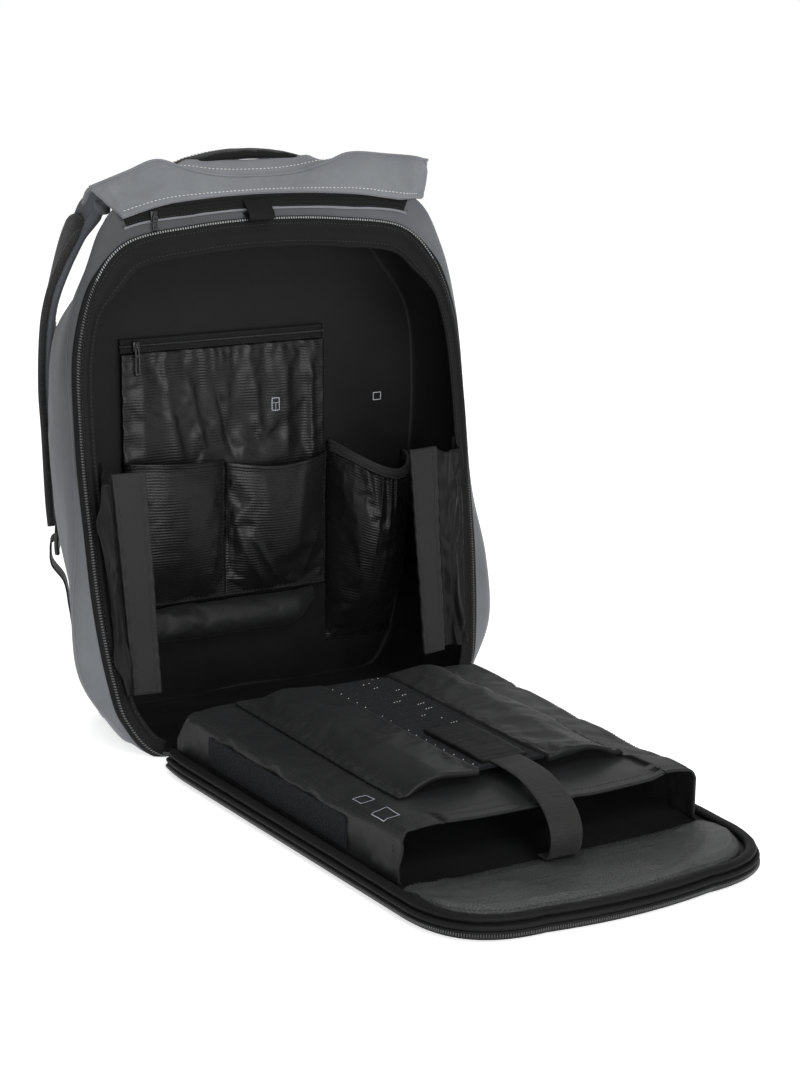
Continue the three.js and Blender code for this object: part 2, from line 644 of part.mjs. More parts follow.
// The webbing: through the lock's slot, then down to the shell's lower rear corner. over is the
// distance behind the lock's middle plane, and z the height, for the first rows.
const WEBBING = { halfWide: 12.5, steps: 26 };
const WEBBING_START = [
  { over: -6, z: 10 },
  { over: -1, z: 10.5 },
  { over: 3.6, z: 9 },
  { over: 4.6, z: 2 },
  { over: 4, z: -8 },
];
const WEBBING_PATH = [
  { x: 0.845, y: 1.165, z: 0.25 },
  { x: 0.835, y: 1.12, z: 0.2 },
  { x: 0.832, y: 1.06, z: 0.155 },
  { x: 0.83, y: 1.0, z: 0.11 },
];
function webbing(sign) {
  const { side, out, foot } = lockFrame(sign);
  const path = new THREE.CatmullRomCurve3([
    ...WEBBING_START.map((row) => foot.clone().addScaledVector(out, row.over).add(vec(0, 0, row.z))),
    ...WEBBING_PATH.map((row) => vec(sign * row.x * BAG.halfWidth, row.y * BAG.depth, row.z * BAG.height)),
  ]);
  const frames = Array.from({ length: WEBBING.steps + 1 }, (_, i) => {
    const share = (i / WEBBING.steps) ** 1.5; // closer together at the lock
    const along = path.getTangent(share);
    const across = side.clone().projectOnPlane(along).normalize();
    return { point: path.getPoint(share), side: across, out: across.clone().cross(along).normalize() };
  });
  return largest(band(frames, WEBBING.halfWide, CLOTH.webbing).subtract(outside));
}

// The grab handle arches over the crown behind the yoke.
const HANDLE = { half: 74, y: 113, foot: 0.985, rise: 21, halfWide: 12, thick: 6, steps: 14 };
function handle() {
  const rings = Array.from({ length: HANDLE.steps + 1 }, (_, i) => {
    const share = i / HANDLE.steps;
    const x = lerp(-HANDLE.half, HANDLE.half, share);
    const arch = Math.sin(Math.PI * share) ** 0.55;
    const z = (HANDLE.foot - 0.02) * BAG.height + (HANDLE.rise + 6) * arch;
    const round = 0.6;
    const at = (a, b) => vec(x, HANDLE.y + a * HANDLE.halfWide, z + b * HANDLE.thick);
    return [at(-round, -0.5), at(round, -0.5), at(1, 0), at(round, 0.5), at(-round, 0.5), at(-1, 0)];
  });
  return largest(sweep(rings).subtract(outside));
}

// Pockets on the inside back wall

// A pocket's cloth stands off a plane: nothing at its sides and foot, most at the middle of its mouth.
function pocketCloth({ left, right, bottom, hem, depth, plane, rows, columns, gather = () => 0 }) {
  const at = (skin) => (i, j) => {
    const x = lerp(left, right, j);
    const z = lerp(bottom, hem(j), i);
    const across = Math.sin(Math.PI * j) ** 0.55;
    const up = 1 - (1 - i) ** 3.2;
    const off = depth * across * up + gather(i, j) * across;
    return vec(x, plane - Math.max(off, 0) - skin, z);
  };
  return slab(gridOf(at(CLOTH.pocket), rows, columns), gridOf(at(0), rows, columns));
}

const FRONT_PLANE = BACK_PLANE - POCKETS.backThick - GAP; // where the book and phone pockets stand

// The flat zip pocket: one row for each crease that runs down from its zip.
const CREASES = [
  { from: 0.14, to: 0.34, wide: 0.05, deep: 0.9 },
  { from: 0.3, to: 0.47, wide: 0.05, deep: 1 },
  { from: 0.55, to: 0.5, wide: 0.045, deep: 0.8 },
  { from: 0.7, to: 0.66, wide: 0.04, deep: 0.9 },
  { from: 0.86, to: 0.88, wide: 0.05, deep: 0.7 },
];
function zipPocket() {
  const { left, right, bottom, top, zipHigh, backThick, wrinkle } = POCKETS;
  const clothTop = top - zipHigh - GAP;
  const crumpled = (POCKETS.phoneHem - bottom) / (clothTop - bottom); // hidden and flat below the hems
  const at = (i, j) => {
    const down = 1 - i;
    const shown = THREE.MathUtils.smoothstep(i, crumpled, crumpled + 0.08);
    const fold = CREASES.reduce((sum, crease) => {
      const away = (j - lerp(crease.from, crease.to, down * 2)) / crease.wide;
      return sum + crease.deep * Math.exp(-away * away);
    }, 0);
    const edge = Math.min(1, Math.min(j, 1 - j) * 12);
    return vec(lerp(left, right, j), BACK_PLANE - backThick + wrinkle * fold * shown * edge * 0.6, lerp(bottom, clothTop, i));
  };
  const flat = (i, j) => vec(lerp(left, right, j), BACK_PLANE, lerp(bottom, clothTop, i));
  return slab(gridOf(at, 7, 20), gridOf(flat, 7, 20));
}

function zipPocketTape() {
  const { left, right, top, zipHigh } = POCKETS;
  return box(left, right, BACK_PLANE - 3.2, BACK_PLANE, top - zipHigh, top);
}

function zipPocketPuller() {
  const { left, top, zipHigh } = POCKETS;
  return puller(vec(left + 12, BACK_PLANE - 3.2 - GAP, top - zipHigh / 2 + 4), 25);
}

const bookPocket = () =>
  pocketCloth({
    left: POCKETS.left,
    right: POCKETS.divide - GAP / 2,
    bottom: POCKETS.bottom,
    hem: (j) => POCKETS.bookHem - 5 * j,
    depth: POCKETS.bookDepth,
    plane: FRONT_PLANE,
    rows: 6,
    columns: 10,
  });

const phonePocket = () =>
  pocketCloth({
    left: POCKETS.divide + GAP / 2,
    right: POCKETS.right,
    bottom: POCKETS.bottom,
    hem: (j) => POCKETS.phoneHem + 6 * (2 * j - 1) ** 2,
    depth: POCKETS.phoneDepth,
    plane: FRONT_PLANE,
    rows: 6,
    columns: 10,
    gather: (i, j) => 1.6 * Math.sin(9 * j + 5 * i) * (1 - i),
  });

const bottleHem = (j) => POCKETS.bottleHem - POCKETS.bottleSag * Math.sin(Math.PI * Math.min(j * 0.75, 1));
const BOTTLE = {
  left: POCKETS.bottleLeft,
  right: POCKETS.bottleRight,
  depth: POCKETS.bottleDepth,
  plane: BACK_PLANE,
};
const bottlePocket = () =>
  largest(
    pocketCloth({
      ...BOTTLE,
      bottom: POCKETS.bottleBottom,
      hem: (j) => bottleHem(j) - POCKETS.bindingHigh - 1.3 * GAP,
      rows: 7,
      columns: 12,
      gather: (i, j) => 1.3 * Math.cos(2 * Math.PI * 5 * j) * i,
    }).intersect(cavity),
  );

// The bound elastic hem, which stands where the pocket's own cloth stops.
function bottleBinding() {
  const at = (skin) => (i, j) => {
    const x = lerp(BOTTLE.left, BOTTLE.right, j);
    const z = bottleHem(j) - POCKETS.bindingHigh * (1 - i);
    const across = Math.sin(Math.PI * j) ** 0.55;
    return vec(x, BOTTLE.plane - BOTTLE.depth * across - skin, z);
  };
  const cloth = CLOTH.pocket + 0.6;
  return largest(slab(gridOf(at(cloth), 1, 12), gridOf(at(0), 1, 12)).intersect(cavity));
}

// The padded roll along the foot of the back wall.
function bolster() {
  const sides = 10;
  const steps = 6;
  const rings = Array.from({ length: steps + 1 }, (_, i) => {
    const share = i / steps;
    const x = lerp(BOLSTER.left, BOLSTER.right, share);
    const plump = BOLSTER.radius * (0.8 + 0.2 * Math.sin(Math.PI * share) ** 0.5);
    return Array.from({ length: sides }, (_, j) => {
      const angle = (2 * Math.PI * j) / sides;
      return vec(x, BACK_PLANE - BOLSTER.back + plump * Math.cos(angle), BOLSTER.z + plump * Math.sin(angle));
    });
  });
  return largest(sweep(rings).intersect(cavity));
}

// The wings that hold the panel's sides: a gusset from the rim to a stitched tab. Each row is a
// point of the gusset seen from above, from the rim to the tab: x as a share of BAG.halfWidth at the
// top, footX at the bottom, and y as a share of BAG.depth.
const WING_RIGHT = [
  { x: 0.935, footX: 0.87, y: 0.39, footY: 0.16 },
  { x: 0.925, footX: 0.88, y: 0.31, footY: 0.13 },
  { x: 0.88, footX: 0.875, y: 0.28, footY: 0.11 },
  { x: 0.84, footX: 0.83, y: 0.2, footY: 0.15 },
  { x: 0.758, footX: 0.775, y: 0.21, footY: 0.12 },
];
const WING_LEFT = [
  { x: -0.935, footX: -0.87, y: 0.39, footY: 0.16 },
  { x: -0.92, footX: -0.88, y: 0.3, footY: 0.13 },
  { x: -0.97, footX: -0.905, y: 0.23, footY: 0.09 },
  { x: -0.965, footX: -0.9, y: 0.165, footY: 0.08 },
  { x: -0.935, footX: -0.878, y: 0.2, footY: 0.11 },
];
const TAB_FALL = 0.03; // how far the tab runs forward over its width, as a share of BAG.depth

function wingAt(table, span, j, i) {
  const foot = new THREE.CatmullRomCurve3(table.map((row) => vec(row.footX, row.footY, 0)));
  const head = new THREE.CatmullRomCurve3(table.map((row) => vec(row.x, row.y, 0)));
  const share = foot.getPoint(j).lerp(head.getPoint(j), i);
  return vec(share.x * BAG.halfWidth, share.y * BAG.depth, lerp(span.low, span.high, i));
}

function wing(table, span) {
  const front = gridOf((i, j) => wingAt(table, span, j, i), 3, 9);
  const cloth = slab(front, offsetGrid(front, CLOTH.wing));
  return largest(cloth.intersect(cavity).subtract(rimTape(GAP)));
}

function wingTab(table, span) {
  const inward = -Math.sign(table[0].x);
  const front = gridOf(
    (i, j) => {
      const at = wingAt(table, span, 1, i);
      at.x += inward * (0.8 + WING.tabWide * j * lerp(WING.tabFootShare, 1, i));
      at.y -= TAB_FALL * BAG.depth * j;
      at.z += (i - 0.5) * 4;
      return at;
    },
    3,
    2,
  );
  const half = CLOTH.tab / 2;
  const shifted = (dy) => front.map((row) => row.map((point) => point.clone().add(vec(0, dy, 0))));
  return slab(shifted(-half), shifted(half));
}

// The panel

// The panel's outline, drawn in by an inset.
function panelShape(inset, start = PANEL.start + inset) {
  const hinge = PANEL.hingeHalf - inset;
  const root = PANEL.rootHalf - inset;
  const tip = PANEL.tipHalf - inset;
  const far = PANEL.length - PANEL.bow - inset;
  const corner = PANEL.corner - inset;
  const widen = PANEL.start + PANEL.rootRound;
  const shape = new THREE.Shape();
  shape.moveTo(-hinge, -start);
  shape.quadraticCurveTo(-root, -start, -root, -Math.max(widen, start + 1));
  shape.lineTo(-tip, -(far - corner));
  shape.quadraticCurveTo(-tip, -far, -tip + corner, -far);
  shape.quadraticCurveTo(0, -far - 2 * PANEL.bow, tip - corner, -far);
  shape.quadraticCurveTo(tip, -far, tip, -(far - corner));
  shape.lineTo(root, -Math.max(widen, start + 1));
  shape.quadraticCurveTo(root, -start, hinge, -start);
  shape.closePath();
  return shape;
}

const panelBoard = () => plate(panelShape(PANEL.zipBand + GAP, PANEL.start), 0, PANEL.thick, 3);

// A band that follows the outline and is open along the hinge.
function panelBand(inset, wide, low, high) {
  const outer = plate(panelShape(inset, PANEL.start + inset), low, high);
  const inner = plate(panelShape(inset + wide, PANEL.start), low - 1, high + 1);
  const open = box(-PANEL.rootHalf, PANEL.rootHalf, -PANEL.start - PANEL.zipBand - 14, 0, low - 1, high + 1);
  return largest(outer.subtract(inner).subtract(open));
}
const panelZip = () => panelBand(0, PANEL.zipBand, PANEL.zipLow, PANEL.zipHigh);
const panelWelt = () =>
  panelBand(PANEL.weltInset, PANEL.weltWide, PANEL.thick + GAP, PANEL.thick + GAP + PANEL.weltHigh);

function panelPad() {
  const pad = plate(panelShape(PANEL.padInset), PANEL.thick + GAP, PANEL.thick + GAP + PANEL.padHigh, 2.5);
  return largest(pad.trimByPlane([0, -1, 0], PANEL.padStart));
}

const BOARD_TOP = PANEL.thick + GAP;

// The cloth that joins the shell's floor to the panel.
function hingeWeb() {
  const reach = { rear: 12, front: PANEL.start + 6 };
  const rearZ = LINING_IN + GAP;
  const at = (skin) => (i, j) => {
    const half = lerp(BAG.halfWidth * 0.7, PANEL.hingeHalf - 10, i);
    const rise = THREE.MathUtils.smoothstep(i, 0.1, 0.85);
    return vec(lerp(-half, half, j), lerp(reach.rear, -reach.front, i), lerp(rearZ, BOARD_TOP, rise) + skin);
  };
  return slab(gridOf(at(CLOTH.web), 6, 6), gridOf(at(0), 6, 6));
}

// The laptop sleeve's outer cross-section, from the foot of one side wall over to the other.
const SLEEVE_ROUND = 3;
function sleeveProfile() {
  const { half, shoulderHigh, ridgeHalf, ridgeHigh } = SLEEVE;
  const right = [
    { x: 0, z: ridgeHigh - 1.5 },
    { x: ridgeHalf * 0.55, z: ridgeHigh - 1 },
    { x: ridgeHalf, z: ridgeHigh },
    { x: half - 14, z: shoulderHigh + 2 },
    { x: half - SLEEVE_ROUND, z: shoulderHigh - 0.5 },
    { x: half, z: shoulderHigh - 4 },
    { x: half, z: shoulderHigh * 0.45 },
    { x: half, z: 0 },
  ];
  const left = right.slice(1).map(({ x, z }) => ({ x: -x, z }));
  return [...left.reverse(), ...right];
}

const sleeveHalf = (distance) =>
  lerp(SLEEVE.half, SLEEVE.mouthHalf, (distance - SLEEVE.start) / (SLEEVE.mouth - SLEEVE.start));
const sleeveRise = (distance) =>
  THREE.MathUtils.smoothstep(distance, SLEEVE.start - 4, SLEEVE.slopeEnd) * 0.88 + 0.12;

function laptopSleeve() {
  const profile = sleeveProfile();
  const stations = [0, 0.03, 0.07, 0.12, 0.4, 0.7, 0.86, 1];
  const skin = (inset) =>
    stations.map((share) => {
      const distance = lerp(SLEEVE.start, SLEEVE.mouth, share);
      const flare = 3 * THREE.MathUtils.smoothstep(share, 0.7, 1);
      const narrow = sleeveHalf(distance) / SLEEVE.half;
      return profile.map(({ x, z }) => {
        const outer = Math.abs(x) > SLEEVE.ridgeHalf;
        const side = Math.sign(x) * (Math.abs(x) * (outer ? narrow : 1) - (outer ? inset : 0));
        const lift = Math.max(z * sleeveRise(distance) + (z > 0 ? flare * (z / SLEEVE.ridgeHigh) - inset : 0), 0);
        return vec(side, -distance, BOARD_TOP + lift);
      });
    });
  return slab(skin(0), skin(CLOTH.sleeve));
}

// Height of the laptop sleeve's top above the ground at a place on it.
function sleeveTop(x, distance) {
  const profile = sleeveProfile().filter((p) => p.z > SLEEVE.shoulderHigh - 1);
  const beside = Math.abs(x);
  const right = profile.filter((p) => p.x >= 0);
  const after = right.findIndex((p) => p.x >= beside);
  const a = right[Math.max(after - 1, 0)];
  const b = right[Math.max(after, 1)];
  const z = lerp(a.z, b.z, (beside - a.x) / (b.x - a.x));
  const share = (distance - SLEEVE.start) / (SLEEVE.mouth - SLEEVE.start);
  const flare = 3 * THREE.MathUtils.smoothstep(share, 0.7, 1);
  return BOARD_TOP + z * sleeveRise(distance) + flare * (z / SLEEVE.ridgeHigh);
}

// A pad of the tablet sleeve: sewn down along its outer edge and its closed end, open at the mouth.
function tabletPad(sign) {
  const at = (skin) => (i, j) => {
    const distance = lerp(PADS.start, PADS.mouth, i);
    const x = lerp(SLEEVE.ridgeHalf - 1, PADS.stripHalf + GAP, j);
    const closed = THREE.MathUtils.smoothstep(i, 0, 0.1);
    const crest = Math.sin(Math.PI * Math.min(j, 0.55) * 0.5 / 0.55);
    const fall = (PADS.rise - PADS.innerRise) * Math.max(0, j - 0.55) / 0.45;
    const lift = (PADS.rise * crest - fall) * closed;
    const floor = sleeveTop(x, distance) + PADS.rest;
    const thick = PADS.thick * Math.min(1, 0.35 + 4 * j * closed);
    const inner = floor + Math.max(lift - PADS.thick, 0);
    return vec(sign * x, -distance, skin ? inner + thick : inner);
  };
  return slab(gridOf(at(1), 9, 7), gridOf(at(0), 9, 7));
}

// The band between the pads, on which the closing tab fastens.
const stripFloor = (distance) => {
  const closed = THREE.MathUtils.smoothstep((distance - PADS.start) / (PADS.mouth - PADS.start), 0, 0.1);
  return sleeveTop(PADS.stripHalf, distance) + PADS.rest + Math.max(PADS.innerRise * closed - PADS.thick, 0) + 1;
};
function tabletStrip() {
  const at = (skin) => (i, j) => {
    const distance = lerp(PADS.start, PADS.mouth - 6, i);
    return vec(lerp(-PADS.stripHalf, PADS.stripHalf, j), -distance, stripFloor(distance) + skin);
  };
  return slab(gridOf(at(PADS.stripThick), 8, 2), gridOf(at(0), 8, 2));
}

// The closing tab and its elastic, which goes over the mouths and down to the panel.
const TAB = { half: 18, start: 192, end: 268, thick: 2.4 };
function closingTab() {
  const base = Math.max(stripFloor(TAB.start), stripFloor(TAB.end)) + PADS.stripThick + GAP;
  return box(-TAB.half, TAB.half, -TAB.end, -TAB.start, base, base + TAB.thick);
}

const ELASTIC = { halfWide: 12.5, steps: 16 };
function elastic() {
  const top = Math.max(stripFloor(TAB.start), stripFloor(TAB.end)) + PADS.stripThick + 2 * GAP;
  const foot = BOARD_TOP + PANEL.padHigh + GAP;
  const path = new THREE.CatmullRomCurve3([
    vec(0, -TAB.end - GAP, top),
    vec(0, -TAB.end - 12, top),
    vec(-2, -SLEEVE.mouth + 18, top - 1.5),
    vec(-6, -SLEEVE.mouth - 14, lerp(foot, top, 0.72)),
    vec(-9, -SLEEVE.mouth - 26, lerp(foot, top, 0.45)),
    vec(-9, -SLEEVE.mouth - 25, lerp(foot, top, 0.18)),
    vec(-8, -SLEEVE.mouth - 19, foot + 1.2),
    vec(-7, -PANEL.padStart - 4, foot),
  ]);
  const frames = Array.from({ length: ELASTIC.steps + 1 }, (_, i) => {
    const along = path.getTangent(i / ELASTIC.steps);
    const side = vec(1, 0, 0).projectOnPlane(along).normalize();
    return { point: path.getPoint(i / ELASTIC.steps), side, out: along.clone().cross(side).normalize() };
  });
  return largest(band(frames, ELASTIC.halfWide, CLOTH.webbing).trimByPlane([0, 0, 1], foot));
}

// The soft hook strips on the laptop sleeve's side walls.
const HOOK = { start: 75, end: 265, low: 3.8, high: 26, thick: 1.2 };
function hookStrip(sign) {
  const at = (skin) => (i, j) => {
    const distance = lerp(HOOK.start, HOOK.end, j);
    const x = sleeveHalf(distance) + GAP + 0.2 + skin;
    return vec(sign * x, -distance, BOARD_TOP + lerp(HOOK.low, HOOK.high, i));
  };
  return slab(gridOf(at(HOOK.thick), 2, 4), gridOf(at(0), 2, 4));
}

// The finished group

const finish = (color, roughness) => new THREE.MeshStandardMaterial({ color, roughness, metalness: 0 });
const GREY = finish(0x6c7075, 0.82);
const BLACK = finish(0x1b1b1c, 0.75);
const LINING = finish(0x232324, 0.6);
const PADDING = finish(0x2c2c2d, 0.7);
const MESH = finish(0x111112, 0.95);
const HOOKS = finish(0x0b0b0c, 1);
const PLASTIC = finish(0x101011, 0.4);

const bag = new THREE.Group();
function add(name, solid, material) {
  const made = solid.getMesh();
  const geometry = new THREE.BufferGeometry();
  const points = new Float32Array(made.numVert * 3);
  for (let i = 0; i < made.numVert; i++) {
    for (let k = 0; k < 3; k++) points[3 * i + k] = made.vertProperties[i * made.numProp + k];
  }
  geometry.setAttribute("position", new THREE.BufferAttribute(points, 3));
  geometry.setIndex(new THREE.BufferAttribute(new Uint32Array(made.triVerts), 1));
  geometry.computeVertexNormals();
  const mesh = new THREE.Mesh(geometry, material);
  mesh.name = name;
  bag.add(mesh);
}

add("shell", shell(), GREY);
add("lining", lining(), LINING);
add("rim_tape", rimTape(), BLACK);
add("top_zip_tape", topZip(), BLACK);
add("top_zip_puller", topZipPuller(), PLASTIC);
add("pull_tab", pullTab(), BLACK);
add("yoke", yoke(), GREY);
add("grab_handle", handle(), BLACK);
for (const [side, sign, table] of [["left", -1, STRAP_LEFT], ["right", 1, STRAP_RIGHT]]) {
  add(`strap_cover_${side}`, strapCover(table), GREY);
  add(`strap_mesh_${side}`, strapMesh(table), MESH);
  add(`ladder_lock_${side}`, ladderLock(sign), PLASTIC);
  add(`strap_webbing_${side}`, webbing(sign), BLACK);
  add(`hook_strip_${side}`, hookStrip(sign), HOOKS);
  add(`tablet_pad_${side}`, tabletPad(sign), PADDING);
}
add("zip_pocket", zipPocket(), LINING);
add("zip_pocket_tape", zipPocketTape(), BLACK);
add("zip_pocket_puller", zipPocketPuller(), PLASTIC);
add("book_pocket", bookPocket(), LINING);
add("phone_pocket", phonePocket(), LINING);
add("bottle_pocket", bottlePocket(), LINING);
add("bottle_pocket_binding", bottleBinding(), BLACK);
add("bolster", bolster(), PADDING);
add("wing_left", wing(WING_LEFT, WING_SPAN.left), LINING);
add("wing_tab_left", wingTab(WING_LEFT, WING_SPAN.left), PADDING);
add("wing_right", wing(WING_RIGHT, WING_SPAN.right), LINING);
add("wing_tab_right", wingTab(WING_RIGHT, WING_SPAN.right), PADDING);
add("panel_board", panelBoard(), BLACK);
add("panel_zip", panelZip(), BLACK);
add("panel_welt", panelWelt(), BLACK);
add("panel_pad", panelPad(), PADDING);
add("hinge_web", hingeWeb(), LINING);
add("laptop_sleeve", laptopSleeve(), PADDING);
add("tablet_strip", tabletStrip(), HOOKS);
add("closing_tab", closingTab(), BLACK);
add("elastic_strap", elastic(), BLACK);

bag.position.y = -BAG.depth / 2;

export default bag;
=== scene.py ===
import json
import math
import random

import bmesh
import bpy
import numpy as np
from mathutils import Euler, Matrix, Vector

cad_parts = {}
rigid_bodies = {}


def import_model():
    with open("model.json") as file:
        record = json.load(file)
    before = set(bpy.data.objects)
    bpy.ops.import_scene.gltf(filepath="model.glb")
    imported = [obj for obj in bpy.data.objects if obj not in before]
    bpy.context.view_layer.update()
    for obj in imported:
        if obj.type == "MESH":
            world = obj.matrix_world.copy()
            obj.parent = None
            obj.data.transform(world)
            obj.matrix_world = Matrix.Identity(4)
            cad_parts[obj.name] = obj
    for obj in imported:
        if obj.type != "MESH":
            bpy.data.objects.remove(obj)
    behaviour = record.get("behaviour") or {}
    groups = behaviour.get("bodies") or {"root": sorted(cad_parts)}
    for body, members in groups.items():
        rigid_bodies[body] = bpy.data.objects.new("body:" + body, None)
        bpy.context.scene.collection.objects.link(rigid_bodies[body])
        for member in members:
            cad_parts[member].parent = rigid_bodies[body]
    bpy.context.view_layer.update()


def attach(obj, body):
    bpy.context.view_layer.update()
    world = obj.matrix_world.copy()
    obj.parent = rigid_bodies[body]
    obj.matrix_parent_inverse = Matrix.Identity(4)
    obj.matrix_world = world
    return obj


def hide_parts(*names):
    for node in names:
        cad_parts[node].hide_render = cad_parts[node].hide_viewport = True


for old in list(bpy.data.objects):
    bpy.data.objects.remove(old)
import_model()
FINE = 2
rng = random.Random(11)

# Sizes shared with the CAD part: millimetres, X to the right, Y to the rear, Z up, hinge line at y = 0

HALF, DEPTH, HIGH = 167.0, 130.0, 425.0
LEAN, LEAN_POWER = 70.0, 0.65
ORIGIN = np.array([0.0, -DEPTH / 2, 0.0])
GAP = 0.3
BACK = 117.7  # plane of the inside back wall
FRONT = 112.7  # plane that the book and phone pockets stand on
BOARD_TOP = 12.3
WALL = 118.0  # plane that the lining is flattened on
SEAM_SINK = 4.4  # how far the lining's grid lies inside the shell's face
SHELL_THICK, LINING_THICK = 1.9, 0.9

# One row a station: sway, teeth x z, edge x back z, side x y z, rear x y z, as shares of the sizes above
OUTLINE = np.array(
    [
        [0, 0, 0.005, 0, 0.046, 0, 0, 0.5, 0, 0, 0.938, 0.007],
        [0, 0.778, 0.005, 0.784, 0.046, 0, 0.778, 0.5, 0, 0.707, 0.938, 0.007],
        [0.012, 0.91, 0.066, 0.965, 0.092, 0.061, 0.898, 0.554, 0.059, 0.79, 0.946, 0.052],
        [0.022, 0.949, 0.132, 1.08, 0.115, 0.134, 0.968, 0.6, 0.132, 0.832, 0.962, 0.129],
        [0.015, 0.982, 0.264, 1.092, 0.092, 0.254, 0.976, 0.631, 0.254, 0.87, 0.977, 0.254],
        [0, 0.992, 0.393, 1.038, 0.054, 0.388, 1, 0.677, 0.388, 0.912, 0.985, 0.388],
        [0, 1, 0.565, 1.02, 0.046, 0.565, 1.025, 0.715, 0.565, 0.932, 0.985, 0.565],
        [0, 0.968, 0.722, 1.006, 0.046, 0.729, 0.98, 0.723, 0.727, 0.9, 0.977, 0.722],
        [0.024, 0.864, 0.831, 0.915, 0.046, 0.854, 0.835, 0.708, 0.852, 0.69, 0.954, 0.833],
        [0.024, 0.722, 0.887, 0.785, 0.038, 0.939, 0.675, 0.738, 0.946, 0.545, 0.938, 0.913],
        [0.01, 0.371, 0.911, 0.371, 0.031, 0.962, 0.359, 0.792, 0.988, 0.299, 0.931, 0.951],
        [0, 0, 0.918, 0, 0.031, 0.967, 0, 0.808, 1, 0, 0.931, 0.96],
    ]
)
STATIONS = 22

# Small helpers


def lerp(a, b, t):
    return a + (b - a) * t


def smoothstep(x, low, high):
    t = np.clip((np.asarray(x, float) - low) / (high - low), 0, 1)
    return t * t * (3 - 2 * t)


def unit(v):
    return v / np.maximum(np.linalg.norm(v, axis=-1, keepdims=True), 1e-9)


def spline(points, t, closed=False):
    """Centripetal curve through points (n, 3) or (n, m, 3), read at the shares t (m)."""
    t = np.atleast_1d(np.asarray(t, float)).ravel()
    p = np.asarray(points, float)
    if p.ndim == 2:
        p = np.repeat(p[:, None], len(t), axis=1)
    n, k = len(p), np.arange(len(t))
    place = (n if closed else n - 1) * t
    i = np.floor(place).astype(int)
    if not closed:
        i = np.clip(i, 0, n - 2)
    w = (place - i)[:, None]
    if closed:
        p0, p1, p2, p3 = (p[(i + d) % n, k] for d in (-1, 0, 1, 2))
    else:
        q = np.concatenate([[2 * p[0] - p[1]], p, [2 * p[-1] - p[-2]]])
        p0, p1, p2, p3 = (q[i + d, k] for d in range(4))

    def step(a, b):
        return np.sqrt(np.linalg.norm(b - a, axis=1))[:, None]

    d0, d1, d2 = step(p0, p1), step(p1, p2), step(p2, p3)
    d1 = np.where(d1 < 1e-4, 1, d1)
    d0 = np.where(d0 < 1e-4, d1, d0)
    d2 = np.where(d2 < 1e-4, d1, d2)
    t1 = ((p1 - p0) / d0 - (p2 - p0) / (d0 + d1) + (p2 - p1) / d1) * d1
    t2 = ((p2 - p1) / d1 - (p3 - p1) / (d1 + d2) + (p3 - p2) / d2) * d1
    return p1 + w * t1 + w**2 * (-3 * p1 + 3 * p2 - 2 * t1 - t2) + w**3 * (2 * p1 - 2 * p2 + t1 + t2)


def tangents(path):
    return unit(np.gradient(path, axis=0))


def arc(path):
    return np.concatenate([[0], np.cumsum(np.linalg.norm(np.diff(path, axis=0), axis=1))])


def resample(path, pitch, *more):
    """Points at an even pitch along a path, with other rows of values read at the same places."""
    s = arc(path)
    n = max(int(s[-1] / pitch), 1)
    at = np.linspace(0, s[-1], n + 1)
    read = lambda rows: np.stack([np.interp(at, s, rows[:, k]) for k in range(rows.shape[1])], axis=1)
    return [read(path)] + [read(m) for m in more]


def noise(p, scale, seed=0):
    """Smooth noise from -1 to 1 at the points p."""
    q = np.asarray(p, float) / scale + 31.7 * seed
    i = np.floor(q)
    f = q - i
    f = f * f * (3 - 2 * f)

    def corner(dx, dy, dz):
        s = (i[..., 0] + dx) * 127.1 + (i[..., 1] + dy) * 311.7 + (i[..., 2] + dz) * 74.7
        v = np.sin(s) * 43758.5453
        return v - np.floor(v)

    total = 0
    for dx in (0, 1):
        for dy in (0, 1):
            for dz in (0, 1):
                w = (f[..., 0] if dx else 1 - f[..., 0]) * (f[..., 1] if dy else 1 - f[..., 1])
                total = total + w * (f[..., 2] if dz else 1 - f[..., 2]) * corner(dx, dy, dz)
    return 2 * total - 1


def creased(p, scale, seed=0):
    """Noise with sharp ridges, from 0 to 1, for crumpled cloth."""
    return (1 - np.abs(noise(p, scale, seed))) ** 3


def fold_lines(i, j, table):
    """Long soft folds. Each row: place across at the top, middle and foot, width, height, and the
    share of the length where it starts and ends."""
    total = 0
    for top, mid, foot, wide, high, low, up in table:
        place = foot * (1 - i) * (1 - 2 * i) + mid * 4 * i * (1 - i) + top * i * (2 * i - 1)
        off = (j - place) / wide
        ends = smoothstep(i, low - 0.01, low + 0.15) * (1 - smoothstep(i, up - 0.15, up + 0.01))
        total = total + high * np.exp(1 - np.sqrt(1 + 3 * off**2)) * ends
    return total


def shares(rows, columns):
    """Shares from 0 to 1 along the columns and along the rows of a grid."""
    return np.meshgrid(np.linspace(0, 1, rows), np.linspace(0, 1, columns), indexing="ij")


def peak(x, at, wide):
    return np.exp(-(((x - at) / wide) ** 2))


def normals(grid, closed=False):
    """Unit normals of a grid of points."""
    if closed:
        across = np.roll(grid, -1, axis=1) - np.roll(grid, 1, axis=1)
    else:
        across = np.gradient(grid, axis=1)
    down = np.gradient(grid, axis=0)
    return unit(np.cross(down, across))


def facing(grid, axis, sign=1):
    """The grid's normals, turned so that they point to this side along an axis."""
    n = normals(grid)
    return n * np.sign(sign * n[..., axis].mean())


